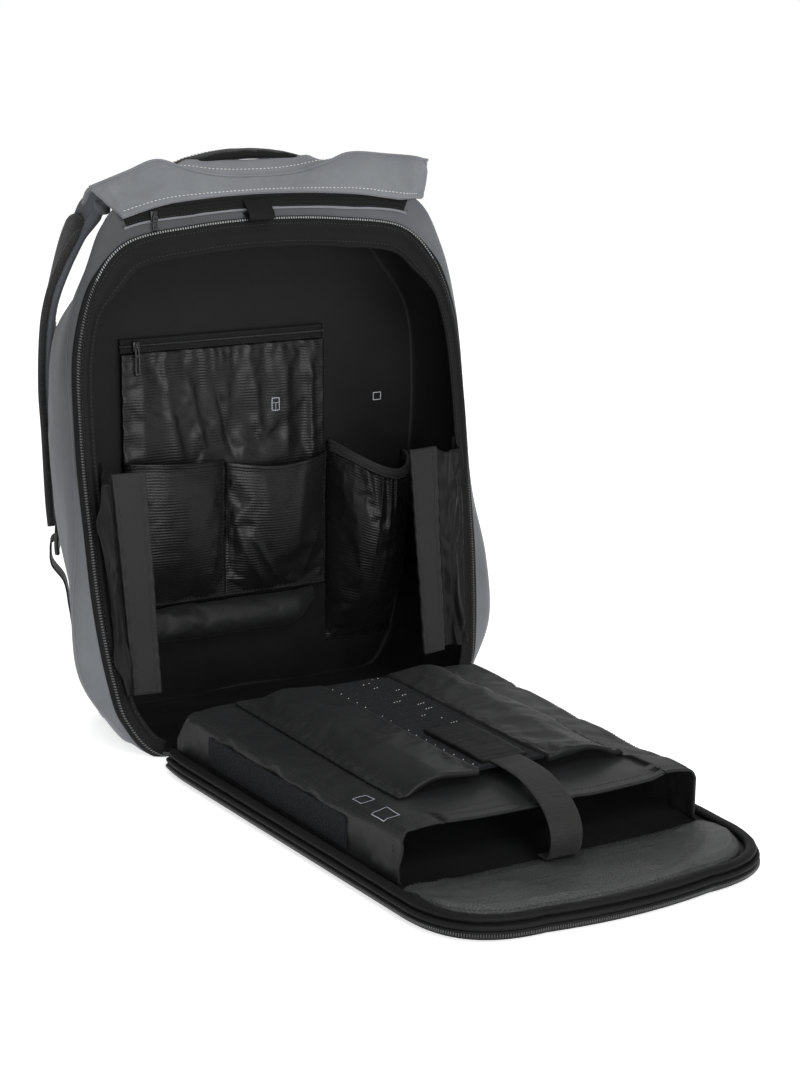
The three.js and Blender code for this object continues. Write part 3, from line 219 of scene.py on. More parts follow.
def finer(grid, rows, columns, closed=False):
    """The grid read at more rows and columns, smoothly."""

    def along(g, n, wrap):
        count = g.shape[0]
        place = np.arange(n * count) / n if wrap else np.linspace(0, count - 1, (count - 1) * n + 1)
        i = np.floor(place).astype(int)
        i = i if wrap else np.clip(i, 0, count - 2)
        w = (place - i)[:, None, None]
        pick = lambda d: g[(i + d) % count] if wrap else None
        if wrap:
            p0, p1, p2, p3 = (pick(d) for d in (-1, 0, 1, 2))
        else:
            q = np.concatenate([[2 * g[0] - g[1]], g, [2 * g[-1] - g[-2]]])
            p0, p1, p2, p3 = (q[i + d] for d in range(4))
        return 0.5 * (
            2 * p1 + (p2 - p0) * w + (
                2 * p0 - 5 * p1 + 4 * p2 - p3
            ) * w**2 + (3 * p1 - p0 - 3 * p2 + p3) * w**3
        )

    g = along(grid, rows, False)
    return along(g.transpose(1, 0, 2), columns, closed).transpose(1, 0, 2)


def smoother(grid):
    return finer(grid, FINE, FINE)


# The bag's outer surface


def lean(z):
    return LEAN * (np.maximum(z, 0) / (0.887 * HIGH)) ** LEAN_POWER


def section(x, y, z, sway):
    right = np.stack([x * HALF, y, z * HIGH], axis=1)
    left = right[1:-1][::-1] * [-1, 1, 1]
    right = right + np.outer(sway, [HALF, 0, 0])
    left = left + np.outer(sway[1:-1][::-1], [HALF, 0, 0])
    return np.concatenate([right, left])


O = OUTLINE.T
POLE = np.array([0, 1.075 * DEPTH, 0.48 * HIGH])
REAR = section(O[9], O[10] * DEPTH, O[11], O[0])
SHRUNK = section(0.72 * O[9], 1.05 * DEPTH + 0 * O[9], lerp(0.48, O[11], 0.72), O[0])
SECTIONS = [
    section(O[1], lean(O[2] * HIGH), O[2], 0 * O[0]),
    section(O[3], lean(O[5] * HIGH) + O[4] * DEPTH, O[5], O[0]),
    section(O[6], O[7] * DEPTH, O[8], O[0]),
    REAR,
    SHRUNK,
]


def bag(u, v):
    """Points of the outer surface: u counts stations round the outline, v counts sections."""
    u, v = np.broadcast_arrays(np.asarray(u, float), np.asarray(v, float))
    share = (u.ravel() % STATIONS) / STATIONS
    column = [spline(s, share, True) for s in SECTIONS] + [np.repeat(POLE[None], share.size, axis=0)]
    p = spline(np.stack(column), v.ravel() / 5)
    p[:, 2] = np.maximum(p[:, 2], 0)
    return p.reshape(*u.shape, 3)


def bag_normal(u, v):
    u, v = np.broadcast_arrays(np.asarray(u, float), np.asarray(v, float))
    step = 0.02
    low, high = np.maximum(v - step, 0), np.minimum(v + step, 5 - step)
    mid = np.minimum(v, high)
    across = bag(u + step, mid) - bag(u - step, mid)
    back = bag(u, high) - bag(u, low)
    return unit(np.cross(back, across))


# Mesh building


def build(name, verts, faces, material, slot=None, replaces=(), uv=None):
    """One piece from points in millimetres. uv holds one pair a vertex, in metres."""
    data = bpy.data.meshes.new(name)
    points = (np.asarray(verts, float) + ORIGIN) / 1000
    data.from_pydata(points.tolist(), [], [list(f) for f in faces])
    if uv is not None:
        layer = data.uv_layers.new(name="cloth")
        index = np.zeros(len(data.loops), int)
        data.loops.foreach_get("vertex_index", index)
        layer.data.foreach_set("uv", np.asarray(uv, float)[index].ravel())
    bm = bmesh.new()
    bm.from_mesh(data)
    bmesh.ops.remove_doubles(bm, verts=bm.verts, dist=1e-6)
    bmesh.ops.recalc_face_normals(bm, faces=bm.faces)
    for f in bm.faces:
        f.smooth = True
    bm.to_mesh(data)
    bm.free()
    obj = bpy.data.objects.new(name, data)
    bpy.context.scene.collection.objects.link(obj)
    data.materials.append(material)
    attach(obj, "root")
    if replaces:
        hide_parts(*([replaces] if isinstance(replaces, str) else replaces))
    return obj


def grid_uv(grid, closed=False):
    """Distances along the rows and columns, in metres."""
    across = np.linalg.norm(np.diff(grid, axis=1), axis=2).mean(axis=0)
    down = np.linalg.norm(np.diff(grid, axis=0), axis=2).mean(axis=1)
    s = np.concatenate([[0], np.cumsum(across)])
    t = np.concatenate([[0], np.cumsum(down)])
    return np.stack(np.meshgrid(s, t), axis=-1) / 1000


FLATS = {}


def flat_sides(grid):
    """A cloth grid's width along its rows, its length along its columns and its area, in metres."""
    across, along = np.diff(grid, axis=1), np.diff(grid, axis=0)
    wide = np.linalg.norm(across, axis=-1).sum(axis=1).mean() / 1000
    long = np.linalg.norm(along, axis=-1).sum(axis=0).mean() / 1000
    cells = np.linalg.norm(np.cross(across[:-1], along[:, :-1]), axis=-1).sum() / 1e6
    return wide, long, min(cells, wide * long)


def shell_of(name, front, back, material, closed=False, **more):
    FLATS[name] = flat_sides(front)
    rows, columns = front.shape[:2]
    verts = np.concatenate([front.reshape(-1, 3), back.reshape(-1, 3)])
    uv = grid_uv(front, closed).reshape(-1, 2)
    uv = np.concatenate([uv, uv])
    faces = []
    last = columns if closed else columns - 1
    count = rows * columns
    for i in range(rows - 1):
        for j in range(last):
            a, b = i * columns + j, i * columns + (j + 1) % columns
            c, d = b + columns, a + columns
            faces.append((a, b, c, d))
            faces.append((count + a, count + d, count + c, count + b))
    for j in range(last):
        a, b = j, (j + 1) % columns
        faces.append((a, count + a, count + b, b))
        a, b = (rows - 1) * columns + j, (rows - 1) * columns + (j + 1) % columns
        faces.append((a, b, count + b, count + a))
    if not closed:
        for i in range(rows - 1):
            a, b = i * columns, (i + 1) * columns
            faces.append((a, b, count + b, count + a))
            a, b = a + columns - 1, b + columns - 1
            faces.append((a, count + a, count + b, b))
    return build(name, verts, faces, material, uv=uv, **more)


def loft(rings, ends=True):
    """Points and faces of a closed tube through rings (n, sides, 3), with a fan over each end."""
    n, sides = rings.shape[:2]
    verts = rings.reshape(-1, 3)
    faces = []
    for i in range(n - 1):
        for j in range(sides):
            k = (j + 1) % sides
            faces.append((i * sides + j, (i + 1) * sides + j, (i + 1) * sides + k, i * sides + k))
    if ends:
        verts = np.concatenate([verts, [rings[0].mean(axis=0), rings[-1].mean(axis=0)]])
        first, last, end = n * sides, n * sides + 1, (n - 1) * sides
        for j in range(sides):
            k = (j + 1) % sides
            faces.append((first, j, k))
            faces.append((last, end + k, end + j))
    return verts, faces


def ring_uv(rings):
    around = np.linalg.norm(np.diff(rings, axis=1, append=rings[:, :1]), axis=2).mean(axis=0)
    s = np.concatenate([[0], np.cumsum(around)[:-1]])
    t = arc(rings.mean(axis=1))
    uv = np.stack(np.meshgrid(s, t), axis=-1).reshape(-1, 2)
    return np.concatenate([uv, uv[:1], uv[-1:]]) / 1000


def sweep(name, rings, material, **more):
    verts, faces = loft(rings)
    return build(name, verts, faces, material, uv=ring_uv(rings), **more)


def rings_along(path, side, out, section_points):
    """Rings of (a along side, b along out) points; the section may change from ring to ring."""
    s = np.asarray(section_points, float)
    if s.ndim == 2:
        s = np.repeat(s[None], len(path), axis=0)
    return path[:, None] + s[..., :1] * side[:, None] + s[..., 1:2] * out[:, None]


def tube(name, path, radius, material, up, slot):
    """A thin round cord or piping along a path."""
    side, out = frames(path, up)
    return sweep(name, rings_along(path, side, out, round_section(radius, radius, 8)), material, slot=slot)


def flat_section(half, thick, low=0.0, n=8, bulge=0.0):
    """A flat band's cross-section with rounded edges, its underside at low."""
    xs = np.linspace(-1, 1, n)
    top = [(half * x, low + thick + bulge * (1 - x * x)) for x in xs[::-1]]
    edge = min(thick / 2, 0.8)
    top[0] = (half - edge * 0.3, low + thick * 0.8)
    top[-1] = (-half + edge * 0.3, low + thick * 0.8)
    under = [(half * x, low) for x in xs]
    under[0] = (-half + edge * 0.3, low + thick * 0.2)
    under[-1] = (half - edge * 0.3, low + thick * 0.2)
    mid = [(half, low + thick * 0.5)]
    return np.array(mid + top + [(-half, low + thick * 0.5)] + under)


def round_section(rx, ry, n=10):
    a = np.linspace(0, 2 * math.pi, n, endpoint=False)
    return np.stack([rx * np.cos(a), ry * np.sin(a)], axis=1)


def frames(path, up):
    """Sideways and outward directions along a path, with the outward ones near up."""
    along = tangents(path)
    up = np.broadcast_to(np.asarray(up, float), path.shape)
    side = unit(np.cross(along, up))
    return side, unit(np.cross(side, along))


class Batch:
    """Many small closed bodies gathered in one mesh."""

    def __init__(self):
        self.verts, self.faces, self.count = [], [], 0

    def add(self, verts, faces):
        self.verts.append(np.asarray(verts, float))
        self.faces += [tuple(i + self.count for i in f) for f in faces]
        self.count += len(verts)

    def make(self, name, material, **more):
        return build(name, np.concatenate(self.verts), self.faces, material, **more)


LOZENGE = np.array(
    [[-1, 0, 0], [-0.6, 0.8, 0], [-0.6, 0, 1], [-0.6, -0.8, 0], [-0.6, 0, -0.6]]
    + [[0.6, 0.8, 0], [0.6, 0, 1], [0.6, -0.8, 0], [0.6, 0, -0.6], [1, 0, 0]]
)
LOZENGE_FACES = (
    [(0, 2, 1), (0, 3, 2), (0, 4, 3), (0, 1, 4)]
    + [(1, 2, 6, 5), (2, 3, 7, 6), (3, 4, 8, 7), (4, 1, 5, 8)]
    + [(9, 5, 6), (9, 6, 7), (9, 7, 8), (9, 8, 5)]
)


def stitches(batch, path, out, pitch=3.0, long=2.2, wide=0.32, high=0.3, lift=0.12, skip=0.0):
    """A row of stitches along a path, each a small thread lying on the cloth."""
    out = np.broadcast_to(np.asarray(out, float), path.shape)
    points, ups = resample(path, pitch, out)
    along = tangents(points)
    ups = unit(ups - along * (ups * along).sum(axis=1)[:, None])
    side = np.cross(along, ups)
    for p, a, s, u in zip(points, along, side, ups):
        if rng.random() < skip:
            continue
        k = long / 2 * rng.uniform(0.85, 1.1)
        q = p + LOZENGE[:, :1] * a * k + LOZENGE[:, 1:2] * s * wide + LOZENGE[:, 2:] * u * high + u * lift
        batch.add(q, LOZENGE_FACES)


TOOTH = np.array([[x, y, z] for x in (-1, 1) for y in (-1, 1) for z in (-1, 1)], float)
TOOTH_FACES = [(0, 1, 3, 2), (4, 6, 7, 5), (0, 4, 5, 1), (2, 3, 7, 6), (0, 2, 6, 4), (1, 5, 7, 3)]


def teeth(batch, path, side, out, pitch=2.0, long=0.62, wide=1.9, high=0.9):
    """A row of zip teeth: each a small block, narrower at its outer face."""
    points, sides, outs = resample(path, pitch, side, out)
    along = tangents(points)
    for p, a, s, o in zip(points, along, sides, outs):
        shape = TOOTH * [long, wide, high]
        top = TOOTH[:, 2:] > 0
        shape = np.where(top, shape * [0.62, 0.72, 1], shape)
        batch.add(p + shape[:, :1] * a + shape[:, 1:2] * s + shape[:, 2:] * o, TOOTH_FACES)

# Materials


def material(name):
    mat = bpy.data.materials.new(name)
    mat.use_nodes = True
    tree = mat.node_tree
    tree.nodes.clear()
    out = tree.nodes.new("ShaderNodeOutputMaterial")
    bsdf = tree.nodes.new("ShaderNodeBsdfPrincipled")
    tree.links.new(bsdf.outputs[0], out.inputs[0])
    return mat, tree, bsdf


def node(tree, kind, **values):
    n = tree.nodes.new(kind)
    for key, value in values.items():
        if key in n.inputs:
            n.inputs[key].default_value = value
        else:
            setattr(n, key, value)
    return n


def mix_colour(tree, factor, a, b):
    n = tree.nodes.new("ShaderNodeMix")
    n.data_type = "RGBA"
    tree.links.new(factor, n.inputs[0])
    for value, socket in ((a, n.inputs[6]), (b, n.inputs[7])):
        if isinstance(value, tuple):
            socket.default_value = (*value, 1)
        else:
            tree.links.new(value, socket)
    return n.outputs[2]


def cloth_material(
    name, dark, light, rough=0.8, sheen=0.3, weave=0.0006, bump=0.3, ribs=None, speckle=0.25, gloss=0.35
):
    """Woven cloth: a fine over-and-under weave, faint wear, colour variation and sheen. ribs is
    (pitch in metres, depth) of the raised lines across the cloth."""
    mat, tree, bsdf = material(name)
    link = tree.links.new
    uv = node(tree, "ShaderNodeUVMap", uv_map="cloth")
    place = node(tree, "ShaderNodeTexCoord")
    broad = node(tree, "ShaderNodeTexNoise", Scale=14.0, Detail=4.0, Roughness=0.6)
    fine = node(tree, "ShaderNodeTexNoise", Scale=700.0, Detail=2.0, Roughness=0.6)
    link(place.outputs["Object"], broad.inputs["Vector"])
    link(place.outputs["Object"], fine.inputs["Vector"])
    warp = node(
        tree, "ShaderNodeTexWave", bands_direction="X", Scale=0.31 / weave, Distortion=0.6, Detail=1.0
    )
    weft = node(
        tree, "ShaderNodeTexWave", bands_direction="Y", Scale=0.31 / weave, Distortion=0.6, Detail=1.0
    )
    link(uv.outputs[0], warp.inputs["Vector"])
    link(uv.outputs[0], weft.inputs["Vector"])
    cross = node(tree, "ShaderNodeMath", operation="MULTIPLY")
    link(warp.outputs["Fac"], cross.inputs[0])
    link(weft.outputs["Fac"], cross.inputs[1])
    grain = node(tree, "ShaderNodeMath", operation="MULTIPLY_ADD")
    link(fine.outputs["Fac"], grain.inputs[0])
    grain.inputs[1].default_value = speckle
    link(cross.outputs[0], grain.inputs[2])
    tone = node(tree, "ShaderNodeMapRange")
    tone.inputs["From Min"].default_value = 0.3
    tone.inputs["From Max"].default_value = 0.7
    link(broad.outputs["Fac"], tone.inputs["Value"])
    base = mix_colour(tree, tone.outputs[0], dark, light)
    shade = node(tree, "ShaderNodeMapRange")
    shade.inputs["To Min"].default_value = 0.78
    shade.inputs["To Max"].default_value = 1.12
    link(grain.outputs[0], shade.inputs["Value"])
    scaled = node(tree, "ShaderNodeVectorMath", operation="SCALE")
    link(base, scaled.inputs[0])
    link(shade.outputs[0], scaled.inputs["Scale"])
    link(scaled.outputs[0], bsdf.inputs["Base Color"])
    height = grain.outputs[0]
    first = node(tree, "ShaderNodeBump", Strength=bump, Distance=0.0004)
    link(height, first.inputs["Height"])
    last = first
    if ribs:
        lines = node(
            tree, "ShaderNodeTexWave", bands_direction="Y", Scale=0.31 / ribs[0], Distortion=2.6, Detail=3.0
        )
        lines.inputs["Detail Scale"].default_value = 0.5
        link(uv.outputs[0], lines.inputs["Vector"])
        patches = node(tree, "ShaderNodeTexNoise", Scale=30.0, Detail=4.0)
        link(place.outputs["Object"], patches.inputs["Vector"])
        amount = node(tree, "ShaderNodeMapRange")
        amount.inputs["From Min"].default_value = 0.4
        amount.inputs["From Max"].default_value = 0.62
        link(patches.outputs["Fac"], amount.inputs["Value"])
        depth = node(tree, "ShaderNodeMath", operation="MULTIPLY_ADD")
        link(amount.outputs[0], depth.inputs[0])
        depth.inputs[1].default_value = 0.9
        depth.inputs[2].default_value = 0.1
        raised = node(tree, "ShaderNodeMath", operation="MULTIPLY")
        link(lines.outputs["Fac"], raised.inputs[0])
        link(depth.outputs[0], raised.inputs[1])
        last = node(tree, "ShaderNodeBump", Strength=ribs[1], Distance=0.0008)
        link(raised.outputs[0], last.inputs["Height"])
        link(first.outputs[0], last.inputs["Normal"])
    link(last.outputs[0], bsdf.inputs["Normal"])
    dull = node(tree, "ShaderNodeMapRange")
    dull.inputs["To Min"].default_value = rough - 0.08
    dull.inputs["To Max"].default_value = min(rough + 0.12, 1)
    link(broad.outputs["Fac"], dull.inputs["Value"])
    link(dull.outputs[0], bsdf.inputs["Roughness"])
    bsdf.inputs["Sheen Weight"].default_value = sheen
    bsdf.inputs["Sheen Roughness"].default_value = 0.45
    bsdf.inputs["Sheen Tint"].default_value = (0.6, 0.62, 0.66, 1)
    bsdf.inputs["Specular IOR Level"].default_value = gloss
    return mat


def plastic_material(name, colour, rough=0.35, metal=0.0, grain=300.0):
    mat, tree, bsdf = material(name)
    link = tree.links.new
    place = node(tree, "ShaderNodeTexCoord")
    fine = node(tree, "ShaderNodeTexNoise", Scale=grain, Detail=3.0)
    link(place.outputs["Object"], fine.inputs["Vector"])
    gloss = node(tree, "ShaderNodeMapRange")
    gloss.inputs["To Min"].default_value = rough - 0.1
    gloss.inputs["To Max"].default_value = rough + 0.15
    link(fine.outputs["Fac"], gloss.inputs["Value"])
    link(gloss.outputs[0], bsdf.inputs["Roughness"])
    low = tuple(c * 0.8 for c in colour)
    link(mix_colour(tree, fine.outputs["Fac"], low, colour), bsdf.inputs["Base Color"])
    bumpy = node(tree, "ShaderNodeBump", Strength=0.12, Distance=0.0002)
    link(fine.outputs["Fac"], bumpy.inputs["Height"])
    link(bumpy.outputs[0], bsdf.inputs["Normal"])
    bsdf.inputs["Metallic"].default_value = metal
    return mat


def mesh_material(name, colour):
    """Spacer mesh: a field of small sunk holes."""
    mat, tree, bsdf = material(name)
    link = tree.links.new
    uv = node(tree, "ShaderNodeUVMap", uv_map="cloth")
    holes = node(tree, "ShaderNodeTexVoronoi", Scale=420.0, Randomness=0.25)
    link(uv.outputs[0], holes.inputs["Vector"])
    ramp = node(tree, "ShaderNodeMapRange")
    ramp.inputs["From Min"].default_value = 0.2
    ramp.inputs["From Max"].default_value = 0.5
    link(holes.outputs["Distance"], ramp.inputs["Value"])
    dark = tuple(c * 0.25 for c in colour)
    link(mix_colour(tree, ramp.outputs[0], dark, colour), bsdf.inputs["Base Color"])
    bumpy = node(tree, "ShaderNodeBump", Strength=0.7, Distance=0.0008)
    link(ramp.outputs[0], bumpy.inputs["Height"])
    link(bumpy.outputs[0], bsdf.inputs["Normal"])
    bsdf.inputs["Roughness"].default_value = 0.9
    bsdf.inputs["Sheen Weight"].default_value = 0.08
    return mat


def pile_material(name, colour):
    """Hook and loop tape: a dull tangled pile with lighter flecks."""
    mat, tree, bsdf = material(name)
    link = tree.links.new
    place = node(tree, "ShaderNodeTexCoord")
    fuzz = node(tree, "ShaderNodeTexNoise", Scale=900.0, Detail=5.0, Roughness=0.75)
    tufts = node(tree, "ShaderNodeTexVoronoi", Scale=600.0)
    link(place.outputs["Object"], fuzz.inputs["Vector"])
    link(place.outputs["Object"], tufts.inputs["Vector"])
    ramp = node(tree, "ShaderNodeMapRange")
    ramp.inputs["From Min"].default_value = 0.35
    ramp.inputs["From Max"].default_value = 0.75
    link(fuzz.outputs["Fac"], ramp.inputs["Value"])
    light = tuple(c * 4.5 for c in colour)
    link(mix_colour(tree, ramp.outputs[0], colour, light), bsdf.inputs["Base Color"])
    both = node(tree, "ShaderNodeMath", operation="ADD")
    link(fuzz.outputs["Fac"], both.inputs[0])
    link(tufts.outputs["Distance"], both.inputs[1])
    bumpy = node(tree, "ShaderNodeBump", Strength=0.9, Distance=0.0009)
    link(both.outputs[0], bumpy.inputs["Height"])
    link(bumpy.outputs[0], bsdf.inputs["Normal"])
    bsdf.inputs["Roughness"].default_value = 1.0
    bsdf.inputs["Sheen Weight"].default_value = 0.03
    bsdf.inputs["Specular IOR Level"].default_value = 0.15
    return mat


def grained_material(name, dark, light):
    """Coated cloth with a leathery grain: long uneven creases that run across the panel."""
    mat, tree, bsdf = material(name)
    link = tree.links.new
    place = node(tree, "ShaderNodeTexCoord")
    long_way = node(tree, "ShaderNodeMapping")
    long_way.inputs["Scale"].default_value = (1, 2.6, 1)
    link(place.outputs["Object"], long_way.inputs["Vector"])
    pebble = node(tree, "ShaderNodeTexVoronoi", Scale=330.0, feature="DISTANCE_TO_EDGE")
    creases = node(tree, "ShaderNodeTexNoise", Scale=150.0, Detail=5.0, Roughness=0.65, Distortion=1.2)
    broad = node(tree, "ShaderNodeTexNoise", Scale=12.0, Detail=3.0)
    link(long_way.outputs[0], pebble.inputs["Vector"])
    link(long_way.outputs[0], creases.inputs["Vector"])
    link(place.outputs["Object"], broad.inputs["Vector"])
    edges = node(tree, "ShaderNodeMapRange")
    edges.inputs["From Max"].default_value = 0.16
    link(pebble.outputs["Distance"], edges.inputs["Value"])
    height = node(tree, "ShaderNodeMath", operation="MULTIPLY_ADD")
    link(creases.outputs["Fac"], height.inputs[0])
    height.inputs[1].default_value = 2.2
    link(edges.outputs[0], height.inputs[2])
    bumpy = node(tree, "ShaderNodeBump", Strength=0.55, Distance=0.0005)
    link(height.outputs[0], bumpy.inputs["Height"])
    link(bumpy.outputs[0], bsdf.inputs["Normal"])
    link(mix_colour(tree, broad.outputs["Fac"], dark, light), bsdf.inputs["Base Color"])
    dull = node(tree, "ShaderNodeMapRange")
    dull.inputs["To Min"].default_value = 0.34
    dull.inputs["To Max"].default_value = 0.52
    link(broad.outputs["Fac"], dull.inputs["Value"])
    link(dull.outputs[0], bsdf.inputs["Roughness"])
    bsdf.inputs["Specular IOR Level"].default_value = 0.5
    return mat


def painted_shade_gradient(mat, along, low, high, share):
    """Painted shade: the cloth's colour times share where the place along this direction is past high
    (metres), standing in for shade that falls there.
    """
    tree = mat.node_tree
    base = tree.nodes["Principled BSDF"].inputs["Base Color"]
    source = base.links[0].from_socket
    axes = node(tree, "ShaderNodeVectorMath", operation="DOT_PRODUCT")
    tree.links.new(node(tree, "ShaderNodeTexCoord").outputs["Object"], axes.inputs[0])
    axes.inputs[1].default_value = along
    height = node(tree, "ShaderNodeMapRange")
    for key, value in (("From Min", low), ("From Max", high), ("To Min", 1.0), ("To Max", share)):
        height.inputs[key].default_value = value
    tree.links.new(axes.outputs["Value"], height.inputs["Value"])
    scaled = node(tree, "ShaderNodeVectorMath", operation="SCALE")
    tree.links.new(source, scaled.inputs[0])
    tree.links.new(height.outputs[0], scaled.inputs["Scale"])
    tree.links.new(scaled.outputs[0], base)


GREY = cloth_material("grey_cloth", (0.125, 0.132, 0.142), (0.17, 0.178, 0.188), 0.82, 0.3, 0.0007, 0.35)
SIDES = cloth_material(
    "shell_cloth_grey", (0.09, 0.096, 0.104), (0.135, 0.142, 0.152), 0.8, 0.3, 0.0007, 0.35
)
# Painted shade: a darker copy of the grey cloth, standing in for the shade on the strap covers and their
# rolled edges.
GREY_PAINTED_SHADE = cloth_material("grey_cloth_painted_shade", (0.05, 0.056, 0.064), (0.078, 0.085, 0.095), 0.82, 0.25, 0.0007, 0.35)
# Painted shade: the shell cloth is darkened towards its upper left side and crown, where shade falls.
painted_shade_gradient(SIDES, (-0.6, 0, 1), 0.18, 0.4, 0.45)
LINING = cloth_material(
    "lining_cloth", (0.0038, 0.0038, 0.0039), (0.0068, 0.0068, 0.007), 0.5, 0.02, 0.0007, 0.12, gloss=0.12
)
RIPSTOP = cloth_material(
    "pocket_cloth", (0.0045, 0.0046, 0.0048), (0.008, 0.008, 0.0083), 0.34, 0.02, 0.0007, 0.12, (0.0023, 0.3),
    gloss=0.21
)
BLACK = cloth_material(
    "black_cloth", (0.0032, 0.0032, 0.0034), (0.0058, 0.0058, 0.0061), 0.62, 0.02, 0.0009, 0.3, gloss=0.12
)
TABS = cloth_material(
    "tab_cloth", (0.009, 0.009, 0.0092), (0.014, 0.014, 0.0143), 0.62, 0.05, 0.0008, 0.25, gloss=0.22
)
PADDING = cloth_material(
    "padding_cloth", (0.0074, 0.0076, 0.0081), (0.0124, 0.0126, 0.0133), 0.54, 0.03, 0.0008, 0.2, gloss=0.2
)
GRAINED = grained_material("panel_cloth", (0.019, 0.0196, 0.0203), (0.033, 0.034, 0.035))
WEBBING = cloth_material(
    "webbing", (0.007, 0.007, 0.0073), (0.013, 0.013, 0.0134), 0.6, 0.06, 0.0011, 0.6, (0.0016, 0.7),
    gloss=0.25
)
ELASTIC_RIB = cloth_material(
    "ribbed_elastic", (0.012, 0.0118, 0.0115), (0.02, 0.0196, 0.0192), 0.7, 0.06, 0.0009, 0.5, (0.0015, 1.0),
    gloss=0.2
)
MESH = mesh_material("black_mesh", (0.011, 0.011, 0.0115))
PILE = pile_material("hook_tape", (0.002, 0.0022, 0.0028))
PLASTIC = plastic_material("black_plastic", (0.006, 0.006, 0.0065), 0.42)
NYLON = plastic_material("nylon_teeth", (0.025, 0.0255, 0.0265), 0.3)
TEETH = plastic_material("rim_teeth", (0.07, 0.071, 0.073), 0.3)
SILVER = plastic_material("silver_teeth", (0.3, 0.305, 0.31), 0.3, 0.3)
PALE_THREAD = cloth_material("pale_thread", (0.62, 0.62, 0.6), (0.75, 0.75, 0.73), 0.7, 0.2, 0.0003, 0.3)
DARK_THREAD = cloth_material(
    "dark_thread", (0.013, 0.013, 0.0135), (0.022, 0.022, 0.0225), 0.6, 0.1, 0.0003, 0.3
)
PRINT = cloth_material("print", (0.36, 0.39, 0.42), (0.45, 0.48, 0.51), 0.7, 0.1, 0.0006, 0.3)

# Cloth that is let go to find its own folds

WAITING = {}


def relax(name, grid, held, grow=0.03, push=0.0, bend=0.4, cap=5.0, closed=False, seed=1):
    """Puts a grid of cloth in line to be simulated. held is 1 where it is sewn down; grow is how much
    cloth there is to spare, push the pressure along its normals in millimetres of feel."""
    WAITING[name] = dict(
        grid=grid, held=held, grow=grow, push=push, bend=bend, cap=cap, closed=closed, seed=seed
    )


def run_cloth(steps=26):
    scene = bpy.context.scene
    made = {}
    for name, c in WAITING.items():
        grid, closed = c["grid"], c["closed"]
        rows, columns = grid.shape[:2]
        n = normals(grid, closed)
        start = grid + n * (noise(grid, 9, c["seed"]) * 0.35 * (1 - c["held"]))[..., None]
        faces = []
        for i in range(rows - 1):
            for j in range(columns if closed else columns - 1):
                a, b = i * columns + j, i * columns + (j + 1) % columns
                faces.append((a, b, b + columns, a + columns))
        data = bpy.data.meshes.new("cloth_" + name)
        data.from_pydata((start.reshape(-1, 3) / 1000).tolist(), [], faces)
        obj = bpy.data.objects.new("cloth_" + name, data)
        scene.collection.objects.link(obj)
        group = obj.vertex_groups.new(name="held")
        for i, w in enumerate(c["held"].ravel()):
            group.add([i], float(w), "REPLACE")
        mod = obj.modifiers.new("cloth", "CLOTH")
        s = mod.settings
        s.quality = 6
        s.mass = 0.15
        s.tension_stiffness = 25
        s.compression_stiffness = 25
        s.shear_stiffness = 8
        s.bending_stiffness = c["bend"]
        s.air_damping = 2
        s.vertex_group_mass = "held"
        s.pin_stiffness = 1
        s.shrink_min = -c["grow"]
        s.shrink_max = -c["grow"]
        s.effector_weights.gravity = 0
        if c["push"]:
            s.use_pressure = True
            s.uniform_pressure_force = c["push"]
        mod.point_cache.frame_start = 1
        mod.point_cache.frame_end = steps
        mod.collision_settings.use_collision = False
        made[name] = obj
    for f in range(1, steps + 1):
        scene.frame_set(f)
    graph = bpy.context.evaluated_depsgraph_get()
    for name, obj in made.items():
        c = WAITING[name]
        found = obj.evaluated_get(graph).to_mesh()
        co = np.zeros(len(found.vertices) * 3)
        found.vertices.foreach_get("co", co)
        moved = co.reshape(c["grid"].shape) * 1000 - c["grid"]
        length = np.linalg.norm(moved, axis=2, keepdims=True)
        moved *= c["cap"] * np.tanh(length / c["cap"]) / np.maximum(length, 1e-6)
        c["result"] = c["grid"] + moved * (1 - c["held"])[..., None]
        bpy.data.objects.remove(obj)
    scene.frame_set(1)


def relaxed(name):
    c = WAITING[name]
    return c.get("result", c["grid"])


def held_edges(rows, columns, top=1, bottom=1, left=1, right=1):
    held = np.zeros((rows, columns))
    if top:
        held[-1] = 1
    if bottom:
        held[0] = 1
    if left:
        held[:, 0] = 1
    if right:
        held[:, -1] = 1
    return held

# Grids of the soft pieces, before they are relaxed


def uv_grid(u0, u1, columns, v0, v1, rows):
    u, v = np.meshgrid(np.linspace(u0, u1, columns + 1), np.linspace(v0, v1, rows + 1))
    return u, v


# Shell: round the outline, from the teeth line to the middle of its rear face
SHELL_U = np.arange(0, STATIONS, 1 / 7)
SHELL_V = np.concatenate(
    [np.linspace(0, 1, 6)[:-1], np.linspace(1, 2, 8)[:-1], np.linspace(2, 3, 9)[:-1], np.linspace(3, 5, 15)]
)
shell_uv = np.meshgrid(SHELL_U, SHELL_V)
shell_grid = bag(*shell_uv)
shell_held = np.clip(1 - smoothstep(shell_uv[1], 1.0, 1.25), 0, 1) + (shell_grid[..., 2] < 6)
shell_held = np.maximum(np.clip(shell_held, 0, 1), (np.abs(shell_uv[1] - 3) < 0.05) * 0.75)
shell_held = np.maximum(shell_held, smoothstep(shell_uv[1], 3.7, 4.4))
relax("shell", shell_grid, shell_held, grow=0.012, bend=1.5, cap=3.5, closed=True, seed=3)

# Lining: the same surface from inside, flattened against the back wall
LINING_V = np.concatenate([np.linspace(0.3, 2, 12)[:-1], np.linspace(2, 3, 10)[:-1], np.linspace(3, 5, 14)])
lining_uv = np.meshgrid(SHELL_U, LINING_V)
lining_grid = bag(*lining_uv) - SEAM_SINK * bag_normal(*lining_uv)
lining_grid[..., 1] = np.minimum(lining_grid[..., 1], WALL)
lining_held = np.maximum(1 - smoothstep(lining_uv[1], 0.3, 0.7), 0)
lining_held = np.maximum(lining_held, smoothstep(lining_grid[..., 1], 112, 117))
relax("lining", lining_grid, lining_held, grow=0.015, bend=1.5, cap=1.6, closed=True, seed=5)

